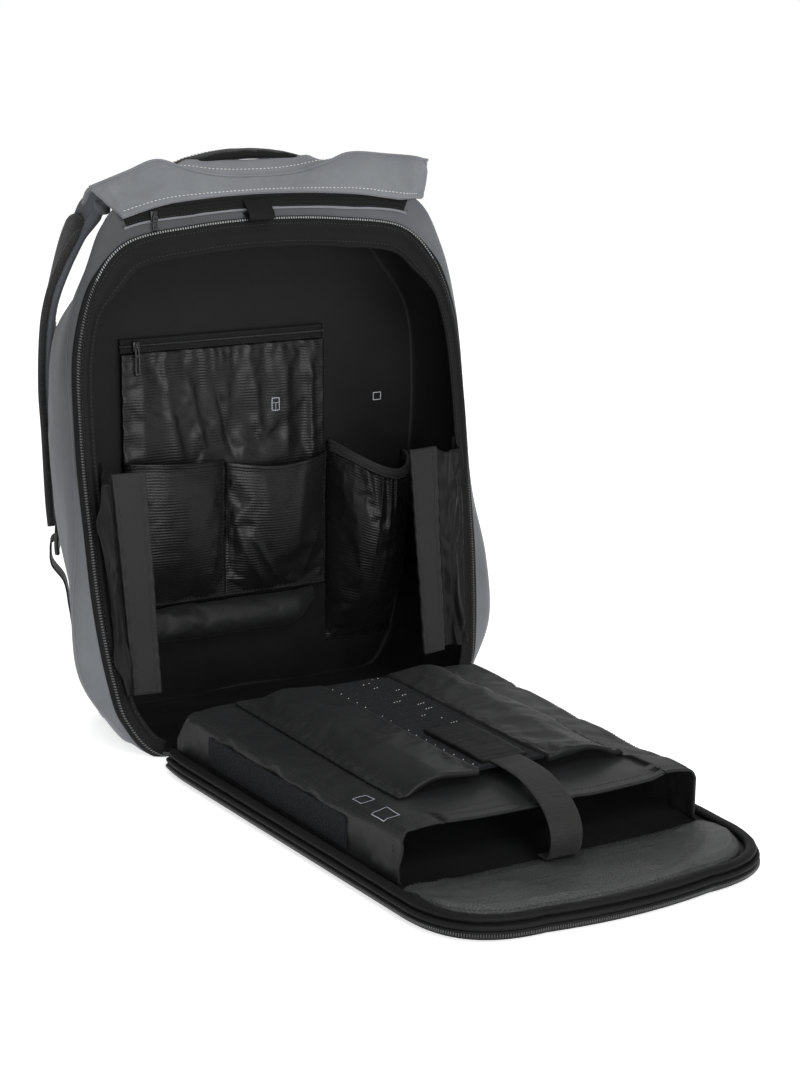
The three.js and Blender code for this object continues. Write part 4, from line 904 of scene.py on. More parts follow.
YOKE = np.array(
    [
        [-0.73, 0.53, 0.938, -0.79, 0.815, 0.981],
        [-0.6, 0.545, 0.95, -0.62, 0.76, 1.008],
        [-0.48, 0.55, 0.958, -0.497, 0.715, 1.026],
        [-0.35, 0.552, 0.963, -0.37, 0.69, 1.012],
        [-0.2, 0.555, 0.967, -0.2, 0.675, 0.997],
        [0, 0.555, 0.969, 0, 0.67, 0.993],
        [0.2, 0.555, 0.967, 0.2, 0.675, 0.997],
        [0.35, 0.552, 0.963, 0.37, 0.69, 1.012],
        [0.48, 0.55, 0.958, 0.497, 0.715, 1.026],
        [0.63, 0.54, 0.949, 0.73, 0.72, 1.019],
        [0.78, 0.525, 0.94, 0.97, 0.725, 1.009],
    ]
)
SHARES = np.array([HALF, DEPTH, HIGH])


def yoke_grid(rows=24, columns=96):
    j = np.linspace(0, 1, columns + 1)
    hem = spline(YOKE[:, :3] * SHARES, j)
    top = spline(YOKE[:, 3:] * SHARES, j)
    stand = smoothstep(np.abs(top[:, 0]) / HALF, 0.3, 0.5)[:, None]
    grid = []
    for i in np.linspace(0, 1, rows + 1):
        if i <= 0.75:
            grid.append(lerp(hem, top, i / 0.75))
        else:
            k = (i - 0.75) / 0.25
            away = lerp(15, 16, stand) * k
            low_ends = 1 - 0.55 * smoothstep(np.abs(top[:, :1]), 25, 75)
            rise = lerp(11.5 * k**0.8 * low_ends, -13 * k * k, stand)
            grid.append(top + np.concatenate([0 * away, away, rise], axis=1))
    return np.stack(grid)


yoke = yoke_grid()
end = smoothstep(np.linspace(0, 1, yoke.shape[1]), 0.93, 1)[None, :]
rise = np.linspace(0, 1, yoke.shape[0])[:, None]
yoke[..., 0] += end**2 * lerp(15, 3, np.clip(rise / 0.75, 0, 1))
yoke[..., 1] += 13 * end**2.5
yoke[..., 2] -= 3 * end**2 * rise
yoke_held = held_edges(*yoke.shape[:2], top=0, left=0, right=0)
yoke_held[:3] = 1
yoke_held[int(0.7 * 24) :] = 1
relax("yoke", yoke, yoke_held, grow=0.006, bend=4, cap=1.0, seed=7)

# The shoulder straps: centre x y z as shares, width as a share of its half, angle of the width
STRAP_HALF = 27.0
STRAP_LEFT = np.array(
    [
        [-0.72, 0.79, 0.974, 0.45, 150],
        [-0.762, 0.877, 0.948, 0.55, 120],
        [-0.795, 0.985, 0.912, 0.75, 92],
        [-0.823, 1.085, 0.867, 0.92, 76],
        [-0.851, 1.162, 0.81, 1, 68],
        [-0.871, 1.223, 0.741, 1, 66],
        [-0.879, 1.265, 0.62, 1, 66],
        [-0.871, 1.265, 0.53, 0.98, 66],
        [-0.87, 1.238, 0.404, 0.95, 66],
        [-0.868, 1.215, 0.355, 0.92, 66],
    ]
)
SHIFT = np.array([[0.15, -0.02, 0.016], [0.12, -0.02, 0.012], [0.07, -0.01, 0.004], [0.03, 0, 0]])
STRAP_RIGHT = STRAP_LEFT.copy()
STRAP_RIGHT[:, 0] *= -1
STRAP_RIGHT[:, 4] = 180 - STRAP_RIGHT[:, 4]
STRAP_RIGHT[:4, :3] += SHIFT


def strap_frames(table, steps=84):
    t = np.linspace(0, 1, steps + 1)
    path = spline(table[:, :3] * SHARES, t)
    extra = np.concatenate([table[:, 3:], np.zeros((len(table), 1))], axis=1)
    values = spline(extra, t)
    along = tangents(path)
    angle = np.radians(values[:, 1])
    side = np.stack([np.cos(angle), np.sin(angle), 0 * angle], axis=1)
    side = unit(side - along * (side * along).sum(axis=1)[:, None])
    out = unit(np.cross(along, side))
    flip = np.sign(out[:, 0] * np.sign(table[-1, 0]))
    return path, side, out * flip[:, None], values[:, 0] * STRAP_HALF


def strap_face(table, inward, low, high, first=0, columns=18):
    """One face of a strap: rolled narrow near the yoke, flat and wide further down."""
    path, side, out, half = (x[first:] for x in strap_frames(table))
    a = np.linspace(-1, 1, columns + 1)
    t = np.linspace(0, 1, 85)[first:, None]
    rolled = 1 - smoothstep(t, 0.2, 0.42)
    half = half * (1 - 0.38 * rolled[:, 0])
    if not inward:
        half = half * smoothstep(t[:, 0], t[0, 0] - 0.02, t[0, 0] + 0.08) ** 0.5
    crown = low + (high - low) * (1 + 0.5 * rolled) * (1 - np.abs(a) ** 3.2) ** 0.6
    sign = -1 if inward else 1
    across = (half[:, None] * a)[..., None] * side[:, None]
    return path[:, None] + across + sign * crown[..., None] * out[:, None]


for label, table in (("left", STRAP_LEFT), ("right", STRAP_RIGHT)):
    cover = strap_face(table, True, 0.3, 6.0)
    held = held_edges(*cover.shape[:2], top=1, bottom=1)
    relax("cover_" + label, cover, held, grow=0.02, bend=1.5, cap=2.0, seed=9)

# Pockets on the inside back wall
POCKET_LEFT, POCKET_RIGHT, DIVIDE = -106.0, 72.0, -20.0
POCKET_BOTTOM, POCKET_TOP, ZIP_HIGH = 84.0, 299.0, 11.0
CREASES = [
    (0.14, 0.34, 0.05, 0.9), (0.3, 0.47, 0.05, 1), (0.55, 0.5, 0.045, 0.8), (0.7, 0.66, 0.04, 0.9),
    (0.86, 0.88, 0.05, 0.7)
]


def pocket_grid(left, right, bottom, hem, depth, plane, rows, columns, gather=None):
    i, j = shares(rows + 1, columns + 1)
    x = lerp(left, right, j)
    z = lerp(bottom, hem(j), i)
    across = np.sin(np.pi * j) ** 0.55
    off = depth * across * (1 - (1 - i) ** 3.2)
    if gather is not None:
        off = off + gather(i, j) * across
    return np.stack([x, plane - np.maximum(off, 0), z], axis=-1)


zip_top = POCKET_TOP - ZIP_HIGH - GAP
i, j = shares(61, 61)
fold = sum(d * np.exp(-(((j - lerp(a, b, (1 - i) * 2)) / w) ** 2)) for a, b, w, d in CREASES)
flatness = smoothstep(i, 0.52, 0.6)
border = np.clip(np.minimum(j, 1 - j) * 12, 0, 1)
zip_cloth = np.stack(
    [
        lerp(POCKET_LEFT, POCKET_RIGHT, j), BACK - 4.7 + 1.8 * fold * flatness * border,
        lerp(POCKET_BOTTOM, zip_top, i)
    ], axis=-1
)
zip_held = held_edges(61, 61)
zip_held[:25] = np.maximum(zip_held[:25], 0.9)
relax("zip_pocket", zip_cloth, zip_held, grow=0.008, bend=1.0, push=0.2, cap=1.8, seed=13)

book = pocket_grid(POCKET_LEFT, DIVIDE - 0.15, POCKET_BOTTOM, lambda j: 203 - 5 * j, 17, FRONT, 40, 34)
phone = pocket_grid(
    DIVIDE + 0.15, POCKET_RIGHT, POCKET_BOTTOM, lambda j: 190 + 6 * (2 * j - 1) ** 2, 16, FRONT, 38, 36,
    lambda i, j: 0.8 * np.sin(7 * j + 4 * i) * (1 - i),
)
relax("book_pocket", book, held_edges(*book.shape[:2], top=0), grow=0.006, bend=1.2, cap=1.5, seed=15)
relax("phone_pocket", phone, held_edges(*phone.shape[:2], top=0), grow=0.014, bend=0.7, cap=2.2, seed=17)


def bottle_hem(j):
    return 204 - 22 * np.sin(np.pi * np.minimum(np.asarray(j) * 0.75, 1))


def bottle_gather(i, j):
    phase = 11.0 * j + 0.5 * np.sin(9 * j) + 0.25 * np.sin(5 * i)
    lines = 1 - 2 * np.abs(np.sin(np.pi * phase)) ** 0.7
    return (2.6 * lines * i**3 * (0.6 + 0.4 * np.sin(13 * j + 2))) - 2.6 * (1 - i) * i


BOTTLE_LEFT, BOTTLE_RIGHT = 76.0, 149.0
bottle = pocket_grid(
    BOTTLE_LEFT, BOTTLE_RIGHT, 32, lambda j: bottle_hem(j) - 9.4, 42, BACK, 44, 78, bottle_gather
)
relax("bottle_pocket", bottle, held_edges(*bottle.shape[:2]), grow=0.009, bend=1.0, cap=1.8, seed=19)

# Wings: the gussets from the rim to the stitched tabs. x and y shares at the head, then at the foot
WING_RIGHT = np.array(
    [
        [0.935, 0.87, 0.39, 0.16], [0.925, 0.88, 0.31, 0.13], [0.88, 0.875, 0.28, 0.11],
        [0.84, 0.83, 0.2, 0.15], [0.758, 0.775, 0.21, 0.12]
    ]
)
WING_LEFT = np.array(
    [
        [-0.935, -0.87, 0.39, 0.16], [-0.92, -0.88, 0.3, 0.13], [-0.97, -0.905, 0.23, 0.09],
        [-0.965, -0.9, 0.165, 0.08], [-0.935, -0.878, 0.2, 0.11]
    ]
)
SPAN = {"left": (50, 214), "right": (45, 207)}


def wing_at(table, span, j, i):
    head = spline(np.stack([table[:, 0], table[:, 2], 0 * table[:, 0]], axis=1), j)
    foot = spline(np.stack([table[:, 1], table[:, 3], 0 * table[:, 0]], axis=1), j)
    share = lerp(foot[None], head[None], np.asarray(i)[:, None, None])
    z = np.broadcast_to(lerp(span[0], span[1], np.asarray(i))[:, None], share.shape[:2])
    return np.stack([share[..., 0] * HALF, share[..., 1] * DEPTH, z], axis=-1)


for label, table in (("left", WING_LEFT), ("right", WING_RIGHT)):
    grid = wing_at(table, SPAN[label], np.linspace(0, 1, 27), np.linspace(0, 1, 47))
    held = held_edges(47, 27, top=0, bottom=0)
    held[:, :2] = 1
    relax("wing_" + label, grid, held, grow=0.004, bend=2.0, cap=2.0, seed=21)

# The hinge web, from under the shell's floor on to the board
i, j = shares(17, 81)
half = lerp(HALF * 0.7, 122, i)
slack = 7.5 * np.sin(np.pi * i) ** 0.8 * (
    1 + 0.25 * np.sin(9 * j + 2) + 0.15 * np.sin(23 * j)
) * np.sin(np.pi * j) ** 0.3
web = np.stack(
    [lerp(-half, half, j), lerp(12, -20, i), lerp(3.8, BOARD_TOP, smoothstep(i, 0.1, 0.85)) + 1.5 + slack],
    axis=-1
)
relax("hinge_web", web, held_edges(17, 81), grow=0.03, bend=0.4, push=0.2, cap=2.2, seed=23)

# The laptop sleeve
RIDGE = 92.0
SLEEVE_START, SLEEVE_MOUTH = 22.0, 328.0
SLEEVE_ROOT, SLEEVE_TIP = 128.0, 119.0
PROFILE = np.array(
    [[0, 34], [50.6, 34.5], [92, 35.5], [114, 34], [125, 31.5], [128, 28], [128, 14.4], [128, 0]]
)


def sleeve_half(d):
    return lerp(SLEEVE_ROOT, SLEEVE_TIP, (np.asarray(d) - SLEEVE_START) / (SLEEVE_MOUTH - SLEEVE_START))


def sleeve_rise(d):
    return smoothstep(d, SLEEVE_START - 6, 40) * 0.8 + 0.2


def dense_profile(extra=6):
    """The profile from the left foot over to the right foot, evenly filled in."""
    right = PROFILE
    both = np.concatenate([right[::-1] * [-1, 1], right[1:]])
    flat = np.concatenate([both, np.zeros((len(both), 1))], axis=1)
    dense = spline(flat, np.linspace(0, 1, (len(both) - 1) * extra + 1))[:, :2]
    dense[:, 1] = np.clip(dense[:, 1], 0, 36)
    dense[:, 0] = np.clip(dense[:, 0], -128, 128)
    return dense


SLEEVE_PROFILE = dense_profile()
SLEEVE_D = np.concatenate([np.linspace(22, 60, 12)[:-1], np.linspace(60, 328, 58)])


def sleeve_grid():
    d = SLEEVE_D[:, None]
    x, z = SLEEVE_PROFILE[None, :, 0], SLEEVE_PROFILE[None, :, 1]
    flare = 3 * smoothstep((d - 22) / 306, 0.7, 1)
    narrow = sleeve_half(d) / SLEEVE_ROOT
    side = x * np.where(np.abs(x) > RIDGE, narrow, 1)
    lift = np.maximum(z * sleeve_rise(d) + (z > 0) * flare * z / 35.5, 0)
    return np.stack([side, -d + 0 * x, BOARD_TOP + lift], axis=-1)


sleeve = sleeve_grid()
sleeve_held = held_edges(*sleeve.shape[:2], top=0)
near_ridge = np.exp(-((np.abs(sleeve[..., 0]) - 93) ** 2) / 12) * (sleeve[..., 1] > -285)
sleeve_held = np.clip(sleeve_held + near_ridge * 0.9 + (sleeve[..., 2] < 14), 0, 1)
relax("laptop_sleeve", sleeve, sleeve_held, grow=0.007, bend=2.0, cap=1.6, seed=25)


def sleeve_top(x, d):
    z = np.interp(np.abs(x), PROFILE[:5, 0], PROFILE[:5, 1])
    flare = 3 * smoothstep((d - 22) / 306, 0.7, 1)
    return BOARD_TOP + z * sleeve_rise(d) + flare * z / 35.5


def pad_grid(sign, rows=66, columns=26):
    i, j = shares(rows + 1, columns + 1)
    d = lerp(44, 280, i)
    x = lerp(RIDGE - 1, 28.3, j)
    closed = smoothstep(i, 0, 0.1)
    crest = np.sin(np.pi * np.minimum(j, 0.55) * 0.5 / 0.55)
    fall = 2.5 * np.maximum(0, j - 0.55) / 0.45
    lift = (14 * crest - fall) * closed
    floor = sleeve_top(x, d) + 1
    inner = floor + np.maximum(lift - 5, 0)
    thick = 5 * np.minimum(1, 0.35 + 4 * j * closed)
    under = np.stack([sign * x, -d, inner], axis=-1)
    return under + np.stack([0 * x, 0 * x, thick], axis=-1), under


pad_floors = {}
for label, sign in (("left", -1), ("right", 1)):
    face, under = pad_grid(sign)
    held = held_edges(*face.shape[:2], top=0)
    relax("pad_" + label, face, held, grow=0.01, bend=1.6, cap=2.0, seed=27, push=0.5 * -sign)
    pad_floors[label] = under


def strip_floor(d):
    closed = smoothstep((d - 44) / 236, 0, 0.1)
    return sleeve_top(28, d) + 1 + np.maximum(11.5 * closed - 5, 0) + 1


# The panel's outline, drawn in by an inset, with the same number of points whatever the inset
def bezier(a, b, c, n):
    t = np.linspace(0, 1, n + 1)[1:, None]
    return (1 - t) ** 2 * a + 2 * t * (1 - t) * b + t**2 * c


def panel_outline(inset, start=None, n=14):
    start = 14 + inset if start is None else start
    hinge, root, tip, far, corner = 132 - inset, 143.5 - inset, 133.5 - inset, 418 - inset, 70 - inset
    widen = max(62, start + 1)
    p = lambda x, y: np.array([x, y], float)
    parts = [p(-hinge, -start)[None]]
    parts.append(bezier(p(-hinge, -start), p(-root, -start), p(-root, -widen), n))
    straight = np.linspace(0, 1, 41)[1:, None]
    parts.append(lerp(p(-root, -widen), p(-tip, -(far - corner)), straight))
    parts.append(bezier(p(-tip, -(far - corner)), p(-tip, -far), p(-tip + corner, -far), 3 * n))
    parts.append(bezier(p(-tip + corner, -far), p(0, -far - 12), p(tip - corner, -far), 2 * n))
    parts.append(bezier(p(tip - corner, -far), p(tip, -far), p(tip, -(far - corner)), 3 * n))
    parts.append(lerp(p(tip, -(far - corner)), p(root, -widen), straight))
    parts.append(bezier(p(root, -widen), p(root, -start), p(hinge, -start), n))
    return np.concatenate(parts)


def at_height(outline, z):
    return np.concatenate([outline, np.full((len(outline), 1), float(z))], axis=1)


def panel_pad_grid(rows=34, columns=90):
    """The panel's raised pad: its rows run from the rear seam out to the far border."""
    edge = panel_outline(13)
    i, j = shares(rows + 1, columns + 1)
    inner = edge[(edge[:, 1] < -334)]
    s = arc(np.concatenate([inner, np.zeros((len(inner), 1))], axis=1))
    t = np.linspace(0, s[-1], columns + 1)
    rim = np.stack([np.interp(t, s, inner[:, 0]), np.interp(t, s, inner[:, 1])], axis=1)
    start = np.stack([np.linspace(rim[0, 0], rim[-1, 0], columns + 1), np.full(columns + 1, -335.0)], axis=1)
    flat = lerp(start[None], rim[None], i[..., None] ** 0.8)
    border = np.minimum.reduce([i * rows / 5, (1 - i) * rows / 5, j * columns / 7, (1 - j) * columns / 7])
    z = BOARD_TOP + GAP + 4.4 * np.clip(border, 0, 1) ** 0.5
    return np.concatenate([flat, z[..., None]], axis=-1)


panel_pad = panel_pad_grid()
relax("panel_pad", panel_pad, held_edges(*panel_pad.shape[:2]), grow=0.006, bend=1.5, cap=1.2, seed=29)

# The padded roll: rings round its length
BOLSTER_RINGS = []
for share in np.linspace(0, 1, 57):
    plump = 14 * (0.86 + 0.14 * math.sin(math.pi * share) ** 0.5) if 0 < share < 1 else 11.8
    narrow = float(smoothstep(share, 0.86, 1.04))
    plump *= 1 - 0.62 * narrow
    a = np.linspace(0, 2 * math.pi, 28, endpoint=False)
    y = np.minimum(BACK - 9 + 5 * narrow + plump * np.cos(a), BACK)
    z = 69 + 9 * narrow + plump * np.sin(a) * (1 + 0.12 * narrow)
    BOLSTER_RINGS.append(np.stack([np.full(28, lerp(-110, 60, share)), y, z], axis=1))
bolster = np.stack(BOLSTER_RINGS)
bolster_held = held_edges(57, 28, left=0, right=0)
bolster_held = np.maximum(bolster_held, (bolster[..., 1] > BACK - 2) * 0.9)
relax("bolster", bolster, bolster_held, grow=0.006, bend=4, cap=1.2, closed=True, seed=31)

run_cloth()

# Shell and lining


def kept_off(name, uv, low, high):
    """The relaxed grid, with its way outwards from the bag's surface held between two limits."""
    start = WAITING[name]["grid"]
    out = bag_normal(*uv)
    moved = relaxed(name) - start
    away = (moved * out).sum(axis=-1, keepdims=True)
    return start + moved + out * (np.clip(away, low, high) - away)


def closed_pole(grid):
    grid[-1] = grid[-1].mean(axis=0)
    return grid


shell = kept_off("shell", shell_uv, -0.2, 3.5)
shell_fine = finer(shell, FINE, FINE, True)
v_rows = np.interp(np.arange(shell_fine.shape[0]) / FINE, np.arange(len(SHELL_V)), SHELL_V)
v_fine = np.broadcast_to(v_rows[:, None], shell_fine.shape[:2])
bulge = 0.9 * peak(v_fine, 1.0, 0.05) + 0.7 * peak(v_fine, 3.0, 0.03)
bulge -= 0.5 * (peak(v_fine, 1.12, 0.04) + peak(v_fine, 2.93, 0.03))
soft = smoothstep(v_fine, 1.1, 1.5) * (shell_fine[..., 2] > 8)
bulge = bulge + soft * (1.5 + 1.3 * noise(shell_fine, 60, 2) + 0.25 * noise(shell_fine, 23, 4))


def outward(grid, closed=False):
    """The normals turned to point away from the bag's middle."""
    n = normals(grid, closed)
    centre = np.array([0, 75, 190.0])
    flip = np.sign((n * (grid - centre)).sum(axis=-1).mean())
    return n * flip


shell_fine = shell_fine + outward(shell_fine, True) * bulge[..., None]
shell_fine[..., 2] = np.maximum(shell_fine[..., 2], 0)
shell_out = outward(shell_fine, True)
shell_back = closed_pole(shell_fine - SHELL_THICK * shell_out)
shell_of("shell_cloth", closed_pole(shell_fine), shell_back, SIDES, True, slot="grey_cloth", replaces="shell")
lining = kept_off("lining", lining_uv, -3, 0.1)
lining_fine = finer(lining, FINE, FINE, True)
low = smoothstep(70 - lining_fine[..., 2], 0, 50) * smoothstep(WALL - lining_fine[..., 1], 1, 8)
high = smoothstep(lining_fine[..., 2], 300, 350) * smoothstep(WALL - lining_fine[..., 1], 4, 20)
crumple = 2.6 * creased(lining_fine, 38, 3) * low + 0.6 * creased(lining_fine, 17, 5) * low
crumple += 3.0 * creased(lining_fine * [1.6, 0.6, 1], 30, 7) * high
lining_out = outward(lining_fine, True)
lining_fine = lining_fine - lining_out * crumple[..., None]
lining_fine[..., 1] = np.minimum(lining_fine[..., 1], WALL)
lining_back = closed_pole(lining_fine + LINING_THICK * lining_out)
shell_of(
    "lining_cloth", closed_pole(lining_fine), lining_back, LINING, True, slot="lining", replaces="lining"
)

# The rim: the line of the teeth, and the ways out of it and across the border

rim_u = np.linspace(0.62, STATIONS - 0.62, 620)
rim = bag(rim_u, 0 * rim_u)
rim_out = bag_normal(rim_u, 0 * rim_u + 0.3)
border_dir = unit(bag(rim_u, 0 * rim_u + 0.25) - rim)

# Zip tape and teeth on the rim
tape_side = 5.2 - 2.9 * smoothstep(rim[:, 2], 340, 372)
tape_path = rim + border_dir * (tape_side[:, None] / 2) + rim_out * 0.35
tape_rings = rings_along(
    tape_path, border_dir, rim_out, np.stack([flat_section(w / 2, 0.7, n=4) for w in tape_side])
)
tape_rings[..., 2] = np.maximum(tape_rings[..., 2], 0.05)
sweep("rim_zip_tape", tape_rings, BLACK, slot="black_cloth")
dark_teeth, bright_teeth = Batch(), Batch()
tooth_path = rim + np.array([0, -0.7, 0]) + border_dir * 0.5
tooth_path[:, 2] = np.maximum(tooth_path[:, 2], 1.3)
high_up = rim[:, 2] > 352
for batch, pick in (
    (dark_teeth, (rim_u < 11) & ~high_up), (bright_teeth, high_up), (dark_teeth, (rim_u > 11) & ~high_up)
):
    teeth(
        batch, tooth_path[pick], border_dir[pick], np.tile([0, -1.0, 0], (pick.sum(), 1)), 2.1, 0.66, 1.7, 1.1
    )
dark_teeth.make("rim_teeth", TEETH, slot="black_plastic")
bright_teeth.make("rim_teeth_top", SILVER, slot="black_plastic")

# The tape inside the rim
tape_u = np.linspace(1, STATIONS - 1, 500)
tape_edge = bag(tape_u, 0 * tape_u)
forward = unit(np.array([0, -1, 0.18]))
inward = unit(np.cross(tangents(tape_edge), forward))
inward *= np.sign((inward * (np.array([0, 0, HIGH * 0.45]) - tape_edge)).sum(axis=1))[:, None]
tape_wide = lerp(11, 21, smoothstep(tape_edge[:, 2] / HIGH, 0.76, 0.86))
a = np.linspace(0, 1, 13)
wave = 0.5 * noise(tape_edge, 19, 8)
tape_grid = tape_edge[:, None] + inward[:, None] * (tape_wide[:, None] * a)[..., None]
lift = 1.75 + wave[:, None] * np.sin(np.pi * a) + 0.35 * np.cos(4 * np.pi * a)
tape_grid = tape_grid + forward * lift[..., None]
shell_of(
    "rim_tape_cloth", tape_grid, tape_grid - forward * 1.5, BLACK, slot="black_cloth", replaces="rim_tape"
)
tape_seams = Batch()
for share in (0.16, 0.8):
    line = tape_edge + inward * (tape_wide * share)[:, None] + forward * 2.0
    stitches(tape_seams, line[8:-8], np.tile(forward, (484, 1)), 3.2, 2.2, 0.28, 0.25)
tape_seams.make("rim_tape_stitches", DARK_THREAD, slot="black_cloth")

# Top zip, its piping, its slider and the pull tab


def on_bag(u, v, off):
    return bag(u, v) + np.asarray(off, float)[..., None] * bag_normal(u, v)


zu, zv = uv_grid(9.15, 12.85, 150, 0.42, 0.9, 12)
zip_strip = on_bag(zu, zv, 1.5 + 0.35 * np.cos((zv - 0.66) * 26) - 1.1 * peak(zv, 0.66, 0.016))
zip_strip += 0.25 * noise(zip_strip, 12, 5)[..., None] * bag_normal(zu, zv)
shell_of("top_zip_cloth", zip_strip, on_bag(zu, zv, 0.15), BLACK, slot="black_cloth", replaces="top_zip_tape")
pu = np.linspace(9.1, 12.9, 150)
tube("top_zip_piping", on_bag(pu, 0 * pu + 0.4, 0.9), 1.15, GREY, up=(0, -1, 0.3), slot="grey_cloth")
zip_seams = Batch()
for v in (0.47, 0.84):
    line = on_bag(pu, 0 * pu + v, 1.75)
    stitches(zip_seams, line, bag_normal(pu, 0 * pu + v), 2.8, 2.0, 0.22, 0.2)
zip_seams.make("top_zip_stitches", DARK_THREAD, slot="black_cloth")


def rounded_box(half, r=0.35, n=3):
    """Points and faces of a block with rounded edges."""
    bm = bmesh.new()
    bmesh.ops.create_cube(bm, size=2)
    bmesh.ops.scale(bm, vec=half, verts=bm.verts)
    bmesh.ops.bevel(
        bm, geom=bm.edges[:], offset=min(r, min(half) * 0.9), segments=n, profile=0.6, affect="EDGES"
    )
    verts = np.array([v.co[:] for v in bm.verts])
    faces = [tuple(v.index for v in f.verts) for f in bm.faces]
    bm.free()
    return verts, faces


def slider(name, at, long, replaces, tilt=0.0):
    """A zip slider: a waisted body, a bridge over it and a long slotted pull."""
    batch = Batch()
    body, faces = rounded_box((3.0, 1.3, 4.0), 1.0)
    body[:, 0] *= 1 - 0.3 * (body[:, 2] / 4) ** 2 * np.sign(-body[:, 2]).clip(0, 1)
    batch.add(body + at + [0, -1.6, -4.0], faces)
    t = np.linspace(0, math.pi, 13)
    arch = np.stack([0 * t, -2.6 - 1.5 * np.sin(t), -4.0 + 3.0 * np.cos(t)], axis=1) + at
    side, out = frames(arch, (1, 0, 0))
    batch.add(*loft(rings_along(arch, side, out, round_section(0.55, 0.9, 8))))
    top = at + [0, -3.9, -4.2]
    n = 22
    z = np.linspace(0, -long + 4, n)
    wide = 1.9 + 0.5 * smoothstep(-z, 0, long * 0.7)
    lean_out = np.sin(np.radians(tilt))
    for sign in (-1, 1):
        path = top + np.stack([sign * wide * 0.66 + lean_out * -z * 0.4, -0.3 - 0.02 * -z, z], axis=1)
        side, out = frames(path, (0, -1, 0))
        batch.add(*loft(rings_along(path, side, out, round_section(0.75, 0.6, 8))))
    for k in (0, n // 3, n - 1):
        x = np.linspace(-1, 1, 9)
        path = top + np.stack(
            [x * wide[k] + lean_out * -z[k] * 0.4, 0 * x - 0.3 - 0.02 * -z[k], 0 * x + z[k]], axis=1
        )
        side, out = frames(path, (0, -1, 0))
        batch.add(*loft(rings_along(path, side, out, round_section(1.35, 0.9, 8))))
    return batch.make(name, PLASTIC, slot="black_plastic", replaces=replaces)


slider_at = bag(12.5, 0.66) + [0, -2.6, 1.0]
slider("top_zip_slider", slider_at, 13, "top_zip_puller")

tab_low = bag(11.2, 0.25)
face = tab_low[1] - 1.5
LOOP = [(0.3, 10), (-3.5, 6.5), (-9.4, 0.8), (-10, -2), (-8.4, -4), (-4, -1.8), (0.2, 0.5)]
loop = np.array(LOOP) + [face, tab_low[2]]
t = np.linspace(0, 1, 40)
curve = spline(np.concatenate([loop, np.zeros((len(loop), 1))], axis=1), t)
tab_path = np.stack([0 * t - 10, curve[:, 0], curve[:, 1]], axis=1)
side, out = np.tile([1.0, 0, 0], (40, 1)), unit(np.cross([1.0, 0, 0], tangents(tab_path)))
sweep(
    "pull_tab_webbing", rings_along(tab_path, side, out, flat_section(11, 1.5, -0.75)), BLACK,
    slot="black_cloth", replaces="pull_tab"
)

# Yoke
yoke_fine = finer(relaxed("yoke"), FINE, FINE)
yoke_n = normals(yoke_fine)
yoke_n *= np.sign((yoke_n * [0, -1, 0.5]).sum(axis=-1).mean())
yoke_i, yoke_j = shares(yoke_fine.shape[0], yoke_fine.shape[1])
puff = 0.9 * np.clip(
    np.sin(np.pi * np.clip(yoke_i / 0.75, 0, 1)), 0, 1
) ** 0.5 + 0.3 * noise(yoke_fine, 34, 6)
puff -= 0.5 * peak(yoke_i, 0.7, 0.012) + 0.35 * peak(yoke_i, 0.095, 0.015)
YOKE_FOLDS = [(0.965, 0.955, 0.97, 0.008, 1.4, 0.05, 0.7), (0.93, 0.945, 0.925, 0.012, 0.8, 0.3, 0.75)]
YOKE_FOLDS += [
    (0.018, 0.03, 0.012, 0.01, 2.2, 0.1, 0.72), (0.05, 0.042, 0.075, 0.012, 1.5, 0.2, 0.74),
    (0.03, 0.06, 0.1, 0.01, 1.2, 0.3, 0.74)
]
puff += fold_lines(yoke_i, yoke_j, YOKE_FOLDS)
yoke_fine = yoke_fine + yoke_n * puff[..., None]
shell_of("yoke_cloth", yoke_fine, yoke_fine - 2.4 * yoke_n, GREY, slot="grey_cloth", replaces="yoke")
white = Batch()
rows = yoke_fine.shape[0]
hem_row = int(rows * 0.09)
stitches(
    white, yoke_fine[hem_row, 4:-4] + 0.1 * yoke_n[hem_row, 4:-4], yoke_n[hem_row, 4:-4], 3.3, 2.1, 0.42, 0.35
)
neck_row = int(rows * 0.755)
neck = (yoke_j[0] > 0.27) & (yoke_j[0] < 0.73)
strip_row = int(rows * 0.83)
strip_line = yoke_fine[strip_row, neck] + 0.15 * yoke_n[strip_row, neck]
stitches(white, strip_line, yoke_n[strip_row, neck], 3.3, 2.1, 0.42, 0.35)
tube("yoke_edge", yoke_fine[neck_row] + 0.4 * yoke_n[neck_row], 1.1, GREY, up=(0, -1, 0.6), slot="grey_cloth")

# Grab handle
share = np.linspace(0, 1, 70)
arch = np.sin(np.pi * share) ** 0.42
handle_path = np.stack([lerp(-74, 74, share), 113 + 0 * share, 0.965 * HIGH + 27 * arch], axis=1)
handle_side = np.tile([0.0, 1, 0], (70, 1))
handle_out = unit(np.cross(handle_side, tangents(handle_path)))
handle_out *= np.sign(handle_out[:, 2:])
pad = np.array(
    [
        [
            math.copysign(abs(math.cos(a)) ** 0.7, math.cos(a)) * 12,
            math.copysign(abs(math.sin(a)) ** 0.9, math.sin(a)) * 4.0,
        ]
        for a in np.linspace(0, 2 * math.pi, 24, endpoint=False)
    ]
)
handle_rings = rings_along(handle_path, handle_side, handle_out, pad)
handle_rings += (0.35 * noise(handle_rings, 9, 3))[..., None] * handle_out[:, None]
sweep("grab_handle_pad", handle_rings, BLACK, slot="black_cloth", replaces="grab_handle")
handle_seams = Batch()
for k in (-9.3, 9.3):
    stitches(handle_seams, handle_path + handle_side * k + handle_out * 3.2, handle_out, 3.0, 2.1, 0.25, 0.25)
handle_seams.make("grab_handle_stitches", DARK_THREAD, slot="black_cloth")

# Shoulder straps

